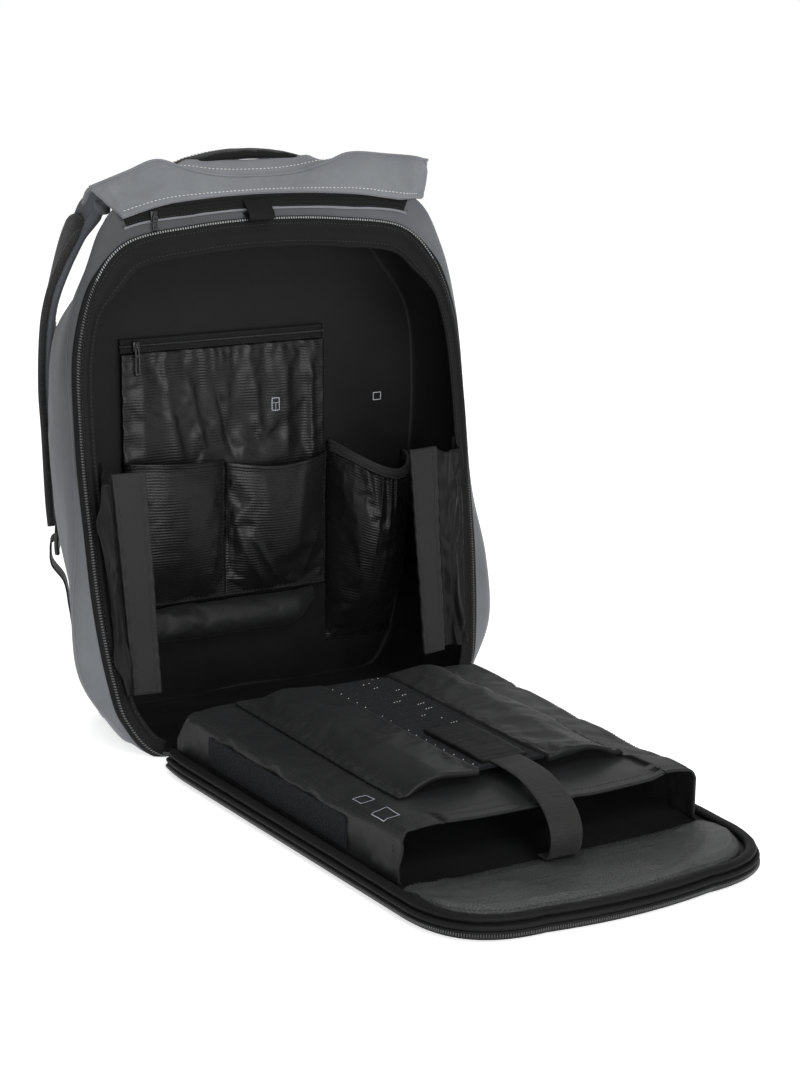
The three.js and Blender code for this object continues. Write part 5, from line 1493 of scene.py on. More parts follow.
STRAP_FOLDS = [
    (0.06, 0.075, 0.05, 0.012, 3, -0.2, 1.2), (0.12, 0.1, 0.13, 0.01, 2.5, -0.2, 1.2),
    (0.165, 0.17, 0.15, 0.012, 1.5, -0.2, 1.2)
]
STRAP_FOLDS += [
    (0.3, 0.33, 0.3, 0.03, 0.7, -0.2, 1.2), (0.45, 0.43, 0.47, 0.03, 0.5, -0.2, 1.2),
    (0.62, 0.66, 0.64, 0.03, 0.6, -0.2, 1.2)
]
strap_seams, strap_white = Batch(), Batch()
for label, table in (("left", STRAP_LEFT), ("right", STRAP_RIGHT)):
    path, side, out, half = strap_frames(table)
    cover = relaxed("cover_" + label)
    t = np.linspace(0, 1, len(path))
    fold = peak(t, 0.08, 0.06) + 0.5 * peak(t, 0.19, 0.04)
    middle = 1 - np.linspace(-1, 1, cover.shape[1]) ** 2
    crush = 6.0 * (creased(cover * [1, 1, 1.8], 24, 11) - 0.35) * fold[:, None] * middle
    gathers = 0.9 * fold_lines(
        middle[None] * 0 + np.linspace(0, 1, cover.shape[1])[None], t[:, None], STRAP_FOLDS
    )
    cover = finer(cover - out[:, None] * (crush + gathers)[..., None], FINE, FINE)
    base = finer(strap_face(table, True, 0.25, 0.6), FINE, FINE)
    # The strap cover uses the darker copy of the grey cloth: painted shade.
    shell_of(
        "strap_cover_cloth_" + label, cover, base, GREY_PAINTED_SHADE, slot="grey_cloth", replaces="strap_cover_" + label
    )
    first = 15
    pad = strap_face(table, False, 0.3, 4.6, first)
    pad = pad + 0.25 * noise(pad, 14, 5)[..., None] * out[first:, None]
    pad = finer(pad, FINE, FINE)
    base = finer(strap_face(table, False, 0.2, 0.25, first), FINE, FINE)
    shell_of("strap_mesh_pad_" + label, pad, base, MESH, slot="black_mesh", replaces="strap_mesh_" + label)
    for sign in (-1, 1):
        wide = half * (1 - 0.38 * (1 - smoothstep(t, 0.2, 0.42)))
        line = path[first + 8 :] + side[first + 8 :] * (
            sign * (wide[first + 8 :] - 0.4)
        )[:, None] + out[first + 8 :] * 0.3
        if sign > 0:
            tube("strap_binding_" + label, line, 1.35, BLACK, up=(1, 0, 0), slot="black_cloth")
        column = 3 * FINE if sign < 0 else cover.shape[1] - 1 - 3 * FINE
        seam = cover[24 * FINE : -4 * FINE, column] - finer(
            out[:, None].repeat(2, 1), FINE, 1
        )[24 * FINE : -4 * FINE, 0] * 0.1
        stitches(
            strap_seams, seam, -finer(out[:, None].repeat(2, 1), FINE, 1)[24 * FINE : -4 * FINE, 0], 3.2, 2.2,
            0.25, 0.25
        )
    from_top = slice(1, len(path))
    line = path[from_top] - side[from_top] * (wide[from_top] - 2.4)[:, None] - out[from_top] * 2.6
    mesh_line = path[17:] - side[17:] * (wide[17:] - 2.2)[:, None] + out[17:] * 3.0
    taper = np.clip(np.arange(len(mesh_line)) / 7 + 0.15, 0, 1) ** 0.5
    mesh_side, mesh_out = frames(mesh_line, (1, 0, 0))
    mesh_rings = rings_along(
        mesh_line, mesh_side, mesh_out, 2.9 * taper[:, None, None] * round_section(1, 1, 16)[None]
    )
    sweep("strap_mesh_edge_" + label, finer(mesh_rings, FINE, 1, True), MESH, slot="black_mesh")
    round_edge, outer_edge = frames(line, (1, 0, 0))
    root = 1 - smoothstep(t[from_top], 0.04, 0.24)
    swell = 3.7 + 4.2 * root + 0.4 * noise(line, 31, 4) + 0.2 * noise(line, 11, 6)
    pinch = peak(t[from_top], 0.11, 0.012) + 0.8 * peak(t[from_top], 0.055, 0.01)
    swell += root * (3.4 * (creased(line, 10, 5) - 0.4) - 2.6 * pinch)
    swell = swell * np.clip(
        np.minimum(np.arange(len(line)), len(line) - 1 - np.arange(len(line))) / 5 + 0.35, 0, 1
    )
    ring = round_section(1, 1, 18)
    rolled_edge = rings_along(line, round_edge, outer_edge, swell[:, None, None] * ring[None] * [1, 0.8])
    # The rolled edge uses the darker copy of the grey cloth: painted shade.
    sweep("strap_rolled_edge_" + label, finer(rolled_edge, FINE, 1, True), GREY_PAINTED_SHADE, slot="grey_cloth")
    row = path[-12] - out[-12] * 6.3
    line = row + side[-12] * np.linspace(-half[-12] + 3, half[-12] - 3, 12)[:, None]
    stitches(strap_white, line, np.tile(-out[-12], (12, 1)), 3.0, 2.0, 0.35, 0.35)
strap_seams.make("strap_stitches", DARK_THREAD, slot="black_cloth")
white.make("yoke_stitches", PALE_THREAD, slot="grey_cloth")
strap_white.make("strap_end_stitches", PALE_THREAD, slot="grey_cloth")

# Ladder locks and webbing
TURN = math.radians(66)
for label, sign in (("left", -1), ("right", 1)):
    side = np.array([-sign * math.cos(TURN), math.sin(TURN), 0])
    out = np.array([sign * math.sin(TURN), math.cos(TURN), 0])
    foot = np.array([sign * 0.866 * HALF, 1.208 * DEPTH, 0.349 * HIGH - 20])
    lock = Batch()
    place = lambda a, z, b: foot + side * a + out * b + np.array([0, 0, z])
    for a in (-15.2, 15.2):
        z = np.linspace(0.6, 19.4, 14)
        bar = np.stack([place(a, k, 0.5 * math.sin(k / 5)) for k in z])
        s, o = frames(bar, out)
        lock.add(*loft(rings_along(bar, s, o, round_section(1.7, 1.9, 10))))
    for z, thick, high in ((1.2, 1.9, 1.5), (6.0, 1.5, 1.2), (14.2, 1.5, 1.3), (18.6, 1.9, 1.3)):
        bar = np.stack([place(a, z, 0.15 * math.cos(a / 5)) for a in np.linspace(-15.5, 15.5, 14)])
        s, o = frames(bar, out)
        lock.add(*loft(rings_along(bar, s, o, round_section(high, thick, 10))))
    lock.make("ladder_lock_body_" + label, PLASTIC, slot="black_plastic", replaces="ladder_lock_" + label)
    start = [(-6, 10), (-1, 10.5), (3.6, 9), (4.6, 2), (4, -8)]
    rest = np.array(
        [[0.845, 1.165, 0.25], [0.835, 1.12, 0.2], [0.832, 1.06, 0.155], [0.8, 0.985, 0.11]]
    ) * SHARES
    knots = np.concatenate([[foot + out * o + [0, 0, z] for o, z in start], rest * [sign, 1, 1]])
    t = np.linspace(0, 1, 90) ** 1.4
    web_path = spline(knots, t)
    along = tangents(web_path)
    across = unit(side - along * (along @ side)[:, None])
    web_out = unit(np.cross(across, along))
    rings = rings_along(web_path, across, web_out, flat_section(12.4, 1.5, 0.1, 10))
    sweep("webbing_" + label, rings, WEBBING, slot="black_cloth", replaces="strap_webbing_" + label)

# Pockets


def front_slab(name, grid, thick, mat, **more):
    """A slab whose back lies thick behind the grid, towards the rear."""
    n = facing(grid, 1, -1)
    return shell_of(name, grid, grid - n * thick, mat, **more)


ZIP_FOLDS = [
    (0.19, 0.3, 0.5, 0.035, 2.6, 0.5, 0.98), (0.3, 0.43, 0.66, 0.028, 2.0, 0.55, 0.99),
    (0.1, 0.1, 0.12, 0.04, 1.6, 0.5, 0.97)
]
ZIP_FOLDS += [
    (0.5, 0.5, 0.4, 0.03, 1.5, 0.6, 0.99), (0.64, 0.7, 0.86, 0.032, 2.2, 0.55, 0.98),
    (0.8, 0.8, 0.74, 0.03, 1.7, 0.5, 0.99)
]
ZIP_FOLDS += [(0.93, 0.94, 0.97, 0.022, 2.4, 0.45, 0.995), (0.4, 0.56, 0.7, 0.02, -1.6, 0.5, 0.95)]
PHONE_FOLDS = [
    (0.0, 0.1, 0.42, 0.06, 2.0, 0.02, 0.75), (0.03, 0.2, 0.62, 0.05, 1.4, 0.02, 0.55),
    (0.98, 0.9, 0.7, 0.05, 1.4, 0.05, 0.8)
]
PHONE_FOLDS += [(0.3, 0.38, 0.3, 0.08, 0.9, 0.3, 1.0), (0.75, 0.66, 0.72, 0.07, 0.9, 0.2, 0.95)]
BOOK_FOLDS = [
    (0.98, 0.9, 0.8, 0.05, 1.2, 0.1, 0.95), (0.04, 0.1, 0.06, 0.05, 1.0, 0.1, 0.9),
    (0.5, 0.55, 0.45, 0.12, 0.7, 0.2, 0.9)
]
zip_face = smoother(relaxed("zip_pocket"))
i, j = shares(zip_face.shape[0], zip_face.shape[1])
inside = np.clip(np.minimum(j, 1 - j) * 16, 0, 1) * smoothstep(i, 0.5, 0.58)
drawn = np.sin(
    2 * np.pi * (19 * j + 0.7 * noise(zip_face, 31, 3))
) * (0.35 + 0.65 * np.abs(noise(zip_face, 27, 8)))
drawn *= 1.3 * np.exp(-(1 - i) / 0.06) * (1 - np.exp(-(1 - i) / 0.008))
zip_face[..., 1] -= (drawn + 1.35 * fold_lines(i, j, ZIP_FOLDS)) * inside
zip_face[..., 1] = np.minimum(zip_face[..., 1], BACK - 0.6)
front_slab("zip_pocket_cloth", zip_face, 0.6, RIPSTOP, slot="lining", replaces="zip_pocket")
inner_seams = Batch()
forward_y = np.array([0.0, -1, 0])
tape = Batch()
x = np.linspace(POCKET_LEFT, POCKET_RIGHT, 90)
for z0, z1 in ((POCKET_TOP - ZIP_HIGH, POCKET_TOP - 6.4), (POCKET_TOP - 4.6, POCKET_TOP)):
    i = np.linspace(0, 1, 7)[:, None]
    g = np.stack(
        [
            np.broadcast_to(x, (7, 90)), np.broadcast_to(BACK - 3.0 - 0.3 * np.sin(x / 7), (7, 90)) + 0 * i,
            np.broadcast_to(lerp(z0, z1, i), (7, 90))
        ],
        axis=-1
    )
    tape_rings = np.concatenate([g, (g + [0, 2.6, 0])[::-1]]).transpose(1, 0, 2)
    tape.add(*loft(tape_rings))
tape.make("zip_pocket_tape_cloth", BLACK, slot="black_cloth", replaces="zip_pocket_tape")
coil_path = np.stack([x, 0 * x + BACK - 2.4, 0 * x + POCKET_TOP - 5.5], axis=1)
coil = Batch()
teeth(coil, coil_path, np.tile([0.0, 0, 1], (90, 1)), np.tile(forward_y, (90, 1)), 1.5, 0.5, 1.0, 0.7)
coil.make("zip_pocket_coil", NYLON, slot="black_plastic")
for z in (POCKET_TOP - ZIP_HIGH + 0.9, POCKET_TOP - 1.2):
    stitches(
        inner_seams, np.stack([x, 0 * x + BACK - 3.5, 0 * x + z], axis=1), forward_y, 3.0, 2.1, 0.22, 0.22
    )
slider(
    "zip_pocket_slider", np.array([POCKET_LEFT + 12, BACK - 4.2, POCKET_TOP - 1.5]), 25, "zip_pocket_puller"
)

for name, folds in (("book_pocket", BOOK_FOLDS), ("phone_pocket", PHONE_FOLDS)):
    g = smoother(relaxed(name))
    i, j = shares(g.shape[0], g.shape[1])
    n = facing(g, 1, -1)
    hem_roll = 0.7 * np.exp(-(((1 - i) / 0.02) ** 2)) - 0.35 * np.exp(-(((1 - i) - 0.055) / 0.012) ** 2)
    pucker = 0.5 * np.sin(j * 150 + 5 * noise(g, 20, 3)) * (
        np.exp(-(j / 0.05) ** 2) + np.exp(-((1 - j) / 0.05) ** 2)
    )
    soft = fold_lines(i, j, folds) * np.clip(np.minimum(j, 1 - j) * 14, 0, 1)
    g = g + n * (hem_roll + pucker + soft)[..., None]
    g[..., 1] = np.minimum(g[..., 1], FRONT - 1.5)
    front_slab(name + "_cloth", g, 1.3, RIPSTOP, slot="lining", replaces=name)
    rows = g.shape[0]
    stitches(inner_seams, g[int(rows * 0.95), 1:-1] - [0, 0.15, 0], forward_y, 3.0, 2.1, 0.22, 0.22)
    for column in (2, -3):
        stitches(inner_seams, g[2:-2, column] - [0, 0.15, 0], forward_y, 3.2, 2.2, 0.22, 0.22)
    stitches(inner_seams, g[2, 1:-1] - [0, 0.2, 0], forward_y, 3.2, 2.2, 0.22, 0.22)

g = smoother(relaxed("bottle_pocket"))
foot_right = lerp(138.0, BOTTLE_RIGHT, smoothstep(g[..., 2], 36, 110))
narrow = (foot_right - BOTTLE_LEFT) / (BOTTLE_RIGHT - BOTTLE_LEFT)
g[..., 0] = BOTTLE_LEFT + (g[..., 0] - BOTTLE_LEFT) * narrow
front_slab("bottle_pocket_cloth", g, 1.2, RIPSTOP, slot="lining", replaces="bottle_pocket")
i, j = shares(10, 120)
hem = bottle_hem(j)
across = np.sin(np.pi * j) ** 0.55
band = np.stack(
    [
        lerp(BOTTLE_LEFT, BOTTLE_RIGHT, j), BACK - 42 * across - 1.6 - 1.1 * np.sin(np.pi * i),
        hem - 9 * (1 - i)
    ],
    axis=-1
)
band[..., 1] -= 0.35 * np.cos(2 * np.pi * 7 * j) * (1 - i)
front_slab(
    "bottle_binding_cloth", band, 1.9, ELASTIC_RIB, slot="black_cloth", replaces="bottle_pocket_binding"
)
binding_seams = Batch()
for k in (1, 8):
    n = normals(band)[k]
    stitches(binding_seams, band[k] - [0, 0.3, 0], -np.sign(n[:, 1:2]) * n, 2.6, 1.8, 0.24, 0.24)
binding_seams.make("bottle_binding_stitches", DARK_THREAD, slot="black_cloth")
foot = g[1, 3:-3] - [0, 0.2, 0]
stitches(inner_seams, foot, forward_y, 3.0, 2.1, 0.22, 0.22)
inner_seams.make("pocket_stitches", DARK_THREAD, slot="black_cloth")

roll = relaxed("bolster")
roll[..., 1] = np.minimum(roll[..., 1], BACK)
roll = finer(roll, FINE, FINE, True)
sweep("bolster_roll", roll, PADDING, slot="padding", replaces="bolster")

# Wings and their tabs
WING_FOLDS = {
    "right": [
        (0.05, 0.72, 0.28, 0.09, 5.0, -0.2, 1.2), (0.36, 0.86, 0.6, 0.07, 3.4, -0.2, 1.2),
        (0.6, 0.5, 0.42, 0.05, -3.0, -0.2, 1.2)
    ]
    + [(0.03, 0.26, 0.1, 0.08, 3.2, -0.2, 0.9), (0.8, 0.93, 0.8, 0.05, 2.2, -0.2, 1.2)],
    "left": [
        (0.72, 0.4, 0.62, 0.1, 5.0, -0.2, 1.2), (0.3, 0.62, 0.32, 0.07, 3.6, -0.2, 1.2),
        (0.5, 0.2, 0.45, 0.05, -2.8, -0.2, 1.2)
    ]
    + [(0.9, 0.78, 0.86, 0.06, 2.6, 0.0, 0.3)],
}
tab_seams = Batch()
for label, table in (("left", WING_LEFT), ("right", WING_RIGHT)):
    g = smoother(relaxed("wing_" + label))
    i, j = shares(g.shape[0], g.shape[1])
    n = facing(g, 1, -1)
    free = np.clip(j * 7, 0, 1) * np.clip((1 - j) * 7, 0, 1)
    g = g + n * (fold_lines(i, j, WING_FOLDS[label]) * free)[..., None]
    g[..., 2] += 11 * peak(j, 0.14, 0.11) * smoothstep(i, 0.7, 1) - 4 * free * smoothstep(i, 0.8, 1)
    g[..., 1] += 3.2 * np.sin(2 * np.pi * 1.6 * j) * smoothstep(i, 0.82, 1) * free
    front_slab("wing_cloth_" + label, g, 0.9, LINING, slot="lining", replaces="wing_" + label)
    span = SPAN[label]
    sign = -np.sign(table[0, 0])
    edge = wing_at(table, span, np.ones(1), np.linspace(0, 1, 80))[:, 0]
    i, j = shares(80, 22)
    wide = 26 * lerp(0.8, 1, i)
    tab = np.stack(
        [
            edge[:, None, 0] + sign * (0.8 + wide * j), edge[:, None, 1] - 3.9 * j - 1.2,
            edge[:, None, 2] + (i - 0.5) * 4
        ],
        axis=-1
    )
    wavy = 0.9 * noise(tab * [1, 1, 0.5], 24, 6) + 0.45 * np.sin(
        i * 70 + 4 * noise(tab, 25, 2)
    ) * (np.abs(j - 0.5) > 0.36)
    tab[..., 1] += np.clip(wavy, -1.2, 1.2) * np.minimum(1, 12 * np.minimum(i, 1 - i))
    groove = 0.55 * (peak(j, 0.12, 0.03) + peak(j, 0.88, 0.03))
    tab[..., 1] += groove
    front_slab("wing_tab_cloth_" + label, tab, 2.2, TABS, slot="padding", replaces="wing_tab_" + label)
    for column in (3, 19):
        stitches(tab_seams, tab[2:-2, column] - [0, 0.1, 0], forward_y, 3.2, 2.2, 0.26, 0.26)
    for row in (2, 77):
        stitches(tab_seams, tab[row, 2:-2] - [0, 0.1, 0], forward_y, 3.2, 2.2, 0.26, 0.26)
tab_seams.make("wing_tab_stitches", DARK_THREAD, slot="padding")

# Hinge web
g = smoother(relaxed("hinge_web"))
g[..., 2] = np.maximum(g[..., 2], 4.2)
n = facing(g, 2)
shell_of("hinge_web_cloth", g, g - 1.3 * n, LINING, slot="lining", replaces="hinge_web")

# The panel: board, zip, welt and pad
RINGS = [
    (6.8, 0.0), (4.9, 0.5), (4.35, 2.0), (4.3, 8.6), (4.9, 10.9), (7.2, 12.0), (12, 12.15), (30, 12.2),
    (60, 12.2)
]
board = np.stack([at_height(panel_outline(a, 14 + 0.3 * (a - 4.3), 14), z) for a, z in RINGS])
board_wave = 0.35 * noise(board, 21, 4) * (board[..., 2] > 11)
board[..., 2] += np.clip(board_wave, -0.3, 0.1)
sweep("panel_board_cloth", board, BLACK, slot="black_cloth", replaces="panel_board")


def open_line(inset, z, cut=28):
    """The outline without its hinge side."""
    line = panel_outline(inset, 14, 14)
    keep = -line[:, 1] > cut
    return at_height(line[keep], z)


def outward_2d(line):
    t = tangents(line)
    n = np.stack([t[:, 1], -t[:, 0], 0 * t[:, 0]], axis=1)
    n *= np.sign((n * (line - [0, -220, 0])).sum(axis=1).mean())
    return unit(n)


zip_line = open_line(1.6, 5.0)
zip_out = outward_2d(zip_line)
up = np.tile([0.0, 0, 1], (len(zip_line), 1))
zip_rings = rings_along(zip_line - zip_out * 2.3, up, zip_out, flat_section(2.5, 2.9, 0, 5))
sweep("panel_zip_tape", zip_rings, BLACK, slot="black_cloth", replaces="panel_zip")
panel_teeth = Batch()
teeth(panel_teeth, zip_line + zip_out * 0.5, up, zip_out, 1.7, 0.5, 1.3, 0.9)
panel_teeth.make("panel_teeth", NYLON, slot="black_plastic")

welt_line = open_line(5.1, 13.6)
welt_out = outward_2d(welt_line)
up = np.tile([0.0, 0, 1], (len(welt_line), 1))
a = np.linspace(0, 2 * math.pi, 14, endpoint=False)
bead = np.stack([3.9 * np.cos(a) - 1.4, 2.5 * np.sin(a) + 0.6], axis=1)
welt_rings = rings_along(welt_line, welt_out, up, bead)
welt_rings += (0.3 * noise(welt_rings, 6, 7))[..., None] * up[:, None]
sweep("panel_welt_piping", welt_rings, BLACK, slot="black_cloth", replaces="panel_welt")
low_bead = rings_along(open_line(2.2, 9.6), outward_2d(open_line(2.2, 9.6)), up, round_section(1.7, 1.9, 10))
sweep("panel_edge_piping", low_bead, BLACK, slot="black_cloth")

g = finer(relaxed("panel_pad"), FINE, 1)
n = facing(g, 2)
g = g + n * (0.35 * creased(g * [0.5, 1.6, 1], 14, 3) + 0.5 * noise(g * [0.6, 1, 1], 32, 2))[..., None]
g[..., 2] = np.maximum(g[..., 2], BOARD_TOP + 0.3)
floor_of_pad = g.copy()
floor_of_pad[..., 2] = BOARD_TOP + 0.05
shell_of("panel_pad_cloth", g, floor_of_pad, GRAINED, slot="padding", replaces="panel_pad")
pad_seams = Batch()
for k in (3, 6):
    stitches(pad_seams, g[k, 2:-2] + [0, 0, 0.15], (0, 0, 1), 3.2, 2.2, 0.26, 0.26)
stitches(pad_seams, g[-4, 4:-4] + [0, 0, 0.15], (0, 0, 1), 3.2, 2.2, 0.26, 0.26)
pad_seams.make("panel_pad_stitches", DARK_THREAD, slot="padding")

# Laptop sleeve and its hook strips
g = relaxed("laptop_sleeve")
d = -g[..., 1]
n = facing(g, 2)
across = np.abs(g[..., 0]) / np.interp(d, [SLEEVE_START, SLEEVE_MOUTH], [SLEEVE_ROOT, SLEEVE_TIP])
top = g[..., 2] > BOARD_TOP + 26
mouth = np.exp(-(((328 - d) / 34) ** 2))
creases = 1.6 * (creased(g * [0.8, 1.3, 1], 30, 13) - 0.3) * mouth * (across < 0.93)
creases += 1.3 * (creased(g * [1, 2.2, 0.5], 20, 4) - 0.3) * (~top) * smoothstep(d, 280, 292)
creases -= 0.8 * peak(d, 283, 2.2) * (~top)
ridge = 1.0 * peak(across, 0.955, 0.02) * top
g = g + n * (creases + ridge)[..., None]
g[..., 2] = np.maximum(g[..., 2], BOARD_TOP + 0.1)
g = finer(g, FINE, 1)
n = facing(g, 2)
shell_of("laptop_sleeve_cloth", g, g - 1.5 * n, PADDING, slot="padding", replaces="laptop_sleeve")
sleeve_fine, sleeve_n = g, n
sleeve_seams = Batch()
rows, columns = g.shape[:2]
stitches(sleeve_seams, g[rows - 5, 8:-8] + 0.15 * n[rows - 5, 8:-8], n[rows - 5, 8:-8], 3.2, 2.2, 0.25, 0.25)
for x in (-1, 1):
    offset = np.abs(np.sign(g[rows // 2, :, 0]) * x - 1) * 1e3 + np.abs(np.abs(g[rows // 2, :, 0]) - 121)
    column = int(np.argmin(offset))
    stitches(sleeve_seams, g[6:-2, column] + 0.2 * n[6:-2, column], n[6:-2, column], 3.2, 2.2, 0.25, 0.25)
for sign in (-1, 1):
    hook_d = np.linspace(75, 265, 110)
    hook_z = np.linspace(3.8, 26, 16)
    i, dd = np.meshgrid(hook_z, hook_d, indexing="ij")
    side_x = sleeve_half(dd) + 0.6
    face_grid = np.stack(
        [sign * (side_x + 1.1 + 0.3 * noise(np.stack([i, dd, 0 * dd], axis=-1), 1.6, 4)), -dd, BOARD_TOP + i],
        axis=-1
    )
    back_grid = np.stack([sign * side_x, -dd, BOARD_TOP + i], axis=-1)
    label = "left" if sign < 0 else "right"
    shell_of(
        "hook_pile_" + label, face_grid, back_grid, PILE, slot="hook_tape", replaces="hook_strip_" + label
    )

# Tablet sleeve: two pads and the strip between them
for label, sign in (("left", -1), ("right", 1)):
    face_grid, under = relaxed("pad_" + label), pad_floors[label]
    i, j = shares(face_grid.shape[0], face_grid.shape[1])
    gather = np.sin(i * 175 + 5 * noise(face_grid, 23, 4)) * (0.5 + 0.5 * np.abs(noise(face_grid, 31, 9)))
    gather *= 1.1 * peak(j, 0.05, 0.1) * smoothstep(i, 0.08, 0.3)
    gather += fold_lines(i, j, [(0.6, 0.5, 0.4, 0.2, 0.9, 0.0, 1.2), (0.2, 0.3, 0.25, 0.1, 0.7, 0.3, 1.2)])
    quilt = -0.9 * np.exp(-((j / 0.02) ** 2))
    face_grid = face_grid + np.stack([0 * i, 0 * i, gather + quilt], axis=-1)
    face_grid[..., 2] = np.maximum(face_grid[..., 2], under[..., 2] + 0.7)
    face_grid, under = smoother(face_grid), smoother(under)
    shell_of(
        "tablet_pad_cloth_" + label, face_grid, under, PADDING, slot="padding", replaces="tablet_pad_" + label
    )
    stitches(sleeve_seams, face_grid[3:-1, 4] + [0, 0, 0.25], (0, 0, 1), 3.0, 2.1, 0.25, 0.25)
    stitches(sleeve_seams, face_grid[-5, 3:-3] + [0, 0, 0.2], (0, 0, 1), 3.0, 2.1, 0.25, 0.25)
    stitches(sleeve_seams, face_grid[4:-1, -4] + [0, 0, 0.2], (0, 0, 1), 3.0, 2.1, 0.25, 0.25)
sleeve_seams.make("sleeve_stitches", DARK_THREAD, slot="padding")

i, j = shares(120, 30)
d = lerp(44, 274, i)
strip = np.stack(
    [lerp(-28, 28, j), -d, strip_floor(d) + 2.0 - 0.35 * np.exp(-((((d - 8) % 12) - 6) ** 2) / 0.8)], axis=-1
)
below = np.stack([lerp(-28, 28, j), -d, strip_floor(d)], axis=-1)
shell_of("tablet_strip_cloth", strip, below, PILE, slot="hook_tape", replaces="tablet_strip")
ladder, dots = Batch(), Batch()
for k in range(18):
    d0 = 62 + 12 * k
    if d0 > 268:
        break
    x = np.linspace(-25, 25, 20)
    z = strip_floor(d0) + 2.1
    row = np.stack([x, 0 * x - d0 + 0.15 * x, 0 * x + z], axis=1)
    stitches(ladder, row, (0, 0, 1), 2.6, 1.7, 0.2, 0.2, skip=0.12)
    for x0, reach in ((-25.5 + rng.uniform(-0.5, 0.5), 1.3), (10 + rng.uniform(-9, 9), 2.6)):
        short = np.array([[x0 - reach, -d0 - 0.5, z + 0.1], [x0 + reach, -d0 + 0.5, z + 0.1]])
        stitches(dots, short, (0, 0, 1), 2.0, 1.1, 0.38, 0.36, skip=0.2)
ladder.make("strip_stitches", DARK_THREAD, slot="hook_tape")
dots.make("strip_bar_tacks", PALE_THREAD, slot="hook_tape")

# Closing tab and elastic
strip_high = max(strip_floor(192.0), strip_floor(268.0)) + 2.3
i, j = shares(44, 20)
lift = 0.5 * np.sin(np.pi * i) + 0.35 * noise(np.stack([i * 76, j * 36, 0 * i], axis=-1), 14, 3)
tab = np.stack([lerp(-18, 18, j), lerp(-192, -268, i), strip_high + 2.0 + np.clip(lift, -0.4, 0.6)], axis=-1)
tab[..., 2] -= 0.5 * peak(i, 0.93, 0.02) + 0.5 * peak(i, 0.62, 0.015) + 0.5 * peak(i, 0.45, 0.015)
n = facing(tab, 2)
shell_of("closing_tab_cloth", tab, tab - 1.9 * n, BLACK, slot="black_cloth", replaces="closing_tab")
tab_rows = Batch()
for row in (5, 12, 19, 26, 34):
    stitches(tab_rows, tab[row, 2:-2] + 0.1 * n[row, 2:-2], n[row, 2:-2], 2.6, 1.9, 0.24, 0.22)
for column in (2, -3):
    stitches(tab_rows, tab[2:-2, column] + 0.1 * n[2:-2, column], n[2:-2, column], 2.8, 2.0, 0.24, 0.22)
tab_rows.make("closing_tab_stitches", DARK_THREAD, slot="black_cloth")
top, foot = strip_high + 0.3, BOARD_TOP + 4.8
knots = np.array(
    [
        [0, -268.3, top], [0, -280, top], [-2, -310, top - 1.5], [-6, -342, lerp(foot, top, 0.72)],
        [-9, -354, lerp(foot, top, 0.45)]
    ]
    + [[-9, -353, lerp(foot, top, 0.18)], [-8, -347, foot + 1.2], [-7, -338, foot]]
)
elastic_path = spline(knots, np.linspace(0, 1, 110))
along = tangents(elastic_path)
side = unit(np.array([1.0, 0, 0]) - along * along[:, :1])
out = unit(np.cross(along, side))
ribs = 0.12 * np.sin(arc(elastic_path) * 2 * math.pi / 1.6)
rings = rings_along(
    elastic_path, side, out, np.stack([flat_section(12.5, 1.6, 0.1, 12) + [0, r * 0.5] for r in ribs])
)
rings[..., 2] = np.maximum(rings[..., 2], foot - 0.2)
sweep("elastic_band", rings, ELASTIC_RIB, slot="black_cloth", replaces="elastic_strap")

# Plain outline pictograms printed on the cloth
prints = Batch()


def print_line(corners, on, lift=0.12, wide=0.55):
    """A closed outline of straight lines; on(x, y) gives the point of the cloth and its normal."""
    points = np.array(corners + corners[:1], float)
    for a, b in zip(points[:-1], points[1:]):
        t = np.linspace(0, 1, 6)[:, None]
        flat = lerp(a, b, t)
        pts, ns = zip(*[on(x, y) for x, y in flat])
        pts, ns = np.array(pts), np.array(ns)
        path = pts + ns * lift
        along = tangents(path)
        side = unit(np.cross(along, ns))
        prints.add(*loft(rings_along(path, side, ns, flat_section(wide / 2, 0.12, 0, 3))))


def reader(grid, n, plane):
    """Finds the point of a grid that lies nearest to two of its coordinates."""
    flat, ns = grid.reshape(-1, 3), n.reshape(-1, 3)

    def on(x, y):
        d = (flat[:, plane[0]] - x) ** 2 + (flat[:, plane[1]] - y) ** 2
        near = np.argsort(d)[:4]
        w = 1 / (d[near] + 1e-3)
        w /= w.sum()
        p = (flat[near] * w[:, None]).sum(axis=0)
        p[plane[0]], p[plane[1]] = x, y
        return p, unit((ns[near] * w[:, None]).sum(axis=0))

    return on


zip_n = facing(zip_face, 1, -1)
on_pocket = reader(zip_face, zip_n, (0, 2))
print_line([(24, 233), (30, 233), (30, 243), (24, 243)], on_pocket, 0.35, 0.6)
print_line([(24.6, 239), (29.4, 239)], on_pocket, 0.35, 0.4)
print_line([(27, 234), (27, 238.6)], on_pocket, 0.35, 0.4)
top_part = sleeve_fine[..., 2] > BOARD_TOP + 30
on_sleeve = reader(sleeve_fine[top_part], sleeve_n[top_part], (0, 1))
print_line([(-112, -256), (-102, -257), (-102, -268), (-112, -267)], on_sleeve, 0.45, 0.6)
print_line([(-116, -288), (-104, -287), (-105, -299), (-105, -305), (-116, -304)], on_sleeve, 0.45, 0.6)
wall_u = reader(lining_fine, -lining_out, (0, 2))
print_line([(121, 232), (128, 232), (128, 238), (121, 238)], wall_u, 0.5, 0.6)
prints.make("printed_outlines", PRINT, slot="lining")

# Studio: plain pale floor, soft lights, the photo's camera

world = bpy.data.worlds.new("studio")
bpy.context.scene.world = world
world.use_nodes = True
sky = world.node_tree.nodes["Background"]
sky.inputs["Color"].default_value = (1, 1, 1, 1)
sky.inputs["Strength"].default_value = 0.44

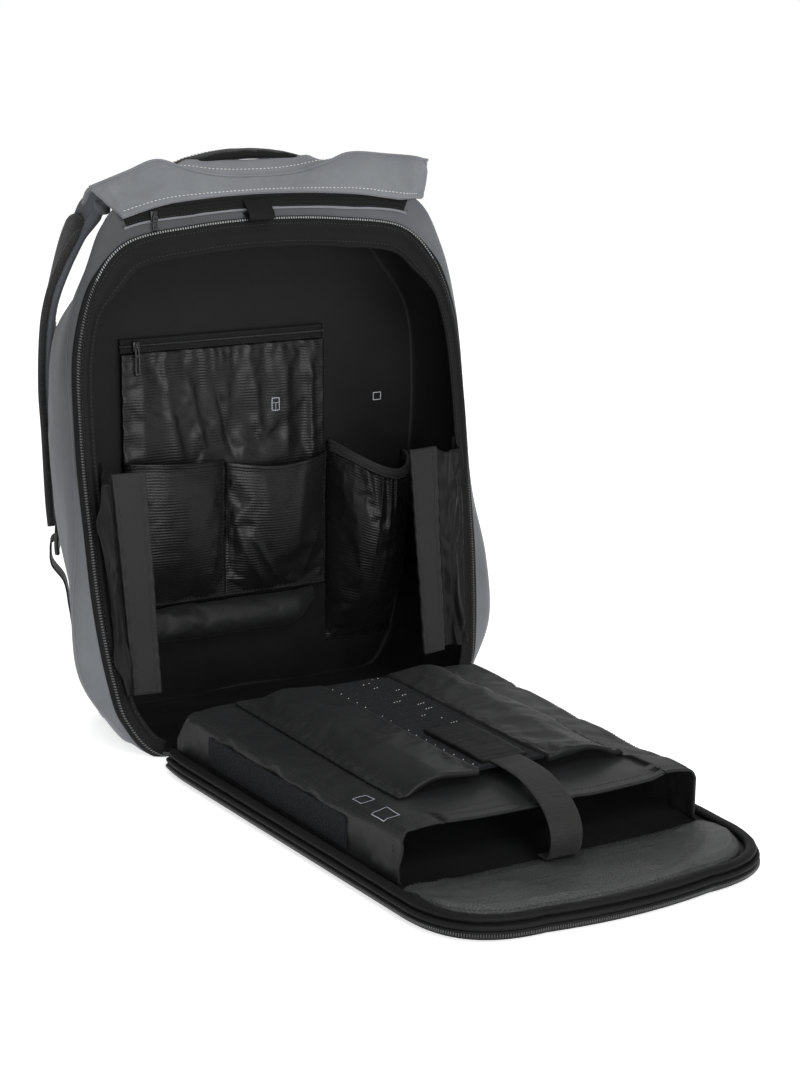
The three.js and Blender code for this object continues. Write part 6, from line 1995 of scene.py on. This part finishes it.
floor_mat, _, floor_bsdf = material("floor")
floor_bsdf.inputs["Base Color"].default_value = (0.84, 0.84, 0.84, 1)
floor_bsdf.inputs["Roughness"].default_value = 0.9
floor_bsdf.inputs["Emission Color"].default_value = (1, 1, 1, 1)
floor_bsdf.inputs["Emission Strength"].default_value = 0.63
data = bpy.data.meshes.new("floor")
FAR, UNDER = 60, -0.0004
data.from_pydata(
    [(x * FAR, y * FAR, UNDER) for x, y in ((-1, -1), (1, -1), (1, 1), (-1, 1))], [], [(0, 1, 2, 3)]
)
data.materials.append(floor_mat)
floor = bpy.data.objects.new("floor", data)
bpy.context.scene.collection.objects.link(floor)


def area_light(name, at, aim, size, power):
    light = bpy.data.lights.new(name, "AREA")
    light.shape = "RECTANGLE"
    light.size, light.size_y = size
    light.energy = power
    obj = bpy.data.objects.new(name, light)
    obj.location = at
    obj.rotation_euler = (Vector(aim) - Vector(at)).to_track_quat("-Z", "Y").to_euler()
    bpy.context.scene.collection.objects.link(obj)


area_light("key", (-0.1, -2.1, 1.9), (0, -0.1, 0.15), (1.1, 0.8), 30)
area_light("fill", (-0.6, -2.4, 0.75), (0, 0.05, 0.1), (1.2, 0.7), 19)
area_light("low", (-0.35, -2.1, 0.32), (0, 0.1, 0.12), (1.1, 0.25), 9)
area_light("top", (-0.2, 0.2, 2.3), (0, -0.1, 0.1), (2.0, 1.4), 10)
area_light("back", (1.3, 1.9, 1.3), (0, 0, 0.25), (1.2, 1.0), 9)

camera = bpy.data.cameras.new("camera")
camera.lens = 76.4
camera.sensor_width = 36
camera.clip_start = 0.05
holder = bpy.data.objects.new("camera", camera)
turn = Euler((math.radians(90 - 14.12), 0, math.radians(-31.02)), "XYZ").to_matrix().to_4x4()
holder.matrix_world = Matrix.Translation((-0.8289, -1.5717, 0.5812)) @ turn @ Matrix.Rotation(0.0072, 4, "Z")
bpy.context.scene.collection.objects.link(holder)
bpy.context.scene.camera = holder
bpy.context.scene.view_settings.view_transform = "Standard"

# What is soft, and the flat sizes that the sheets were cut to
SHEETS = [
    ("zip_pocket_cloth", "stretched", "lining_cloth", ()),
    ("book_pocket_cloth", "stretched", "zip_pocket_cloth", ()),
    ("phone_pocket_cloth", "stretched", "zip_pocket_cloth", ()),
    ("bottle_pocket_cloth", "gathered", "lining_cloth", ("bottle_binding_cloth",)),
    ("wing_cloth_left", "folded", "lining_cloth", ("wing_tab_cloth_left",)),
    ("wing_cloth_right", "folded", "lining_cloth", ("wing_tab_cloth_right",)),
    ("hinge_web_cloth", "folded", "panel_board_cloth", ()),
    ("laptop_sleeve_cloth", "folded", "panel_board_cloth", ()),
    ("closing_tab_cloth", "laid", "tablet_strip_cloth", ("closing_tab_stitches",)),
]
for name, held, below, others in SHEETS:
    wide, long, area = FLATS[name]
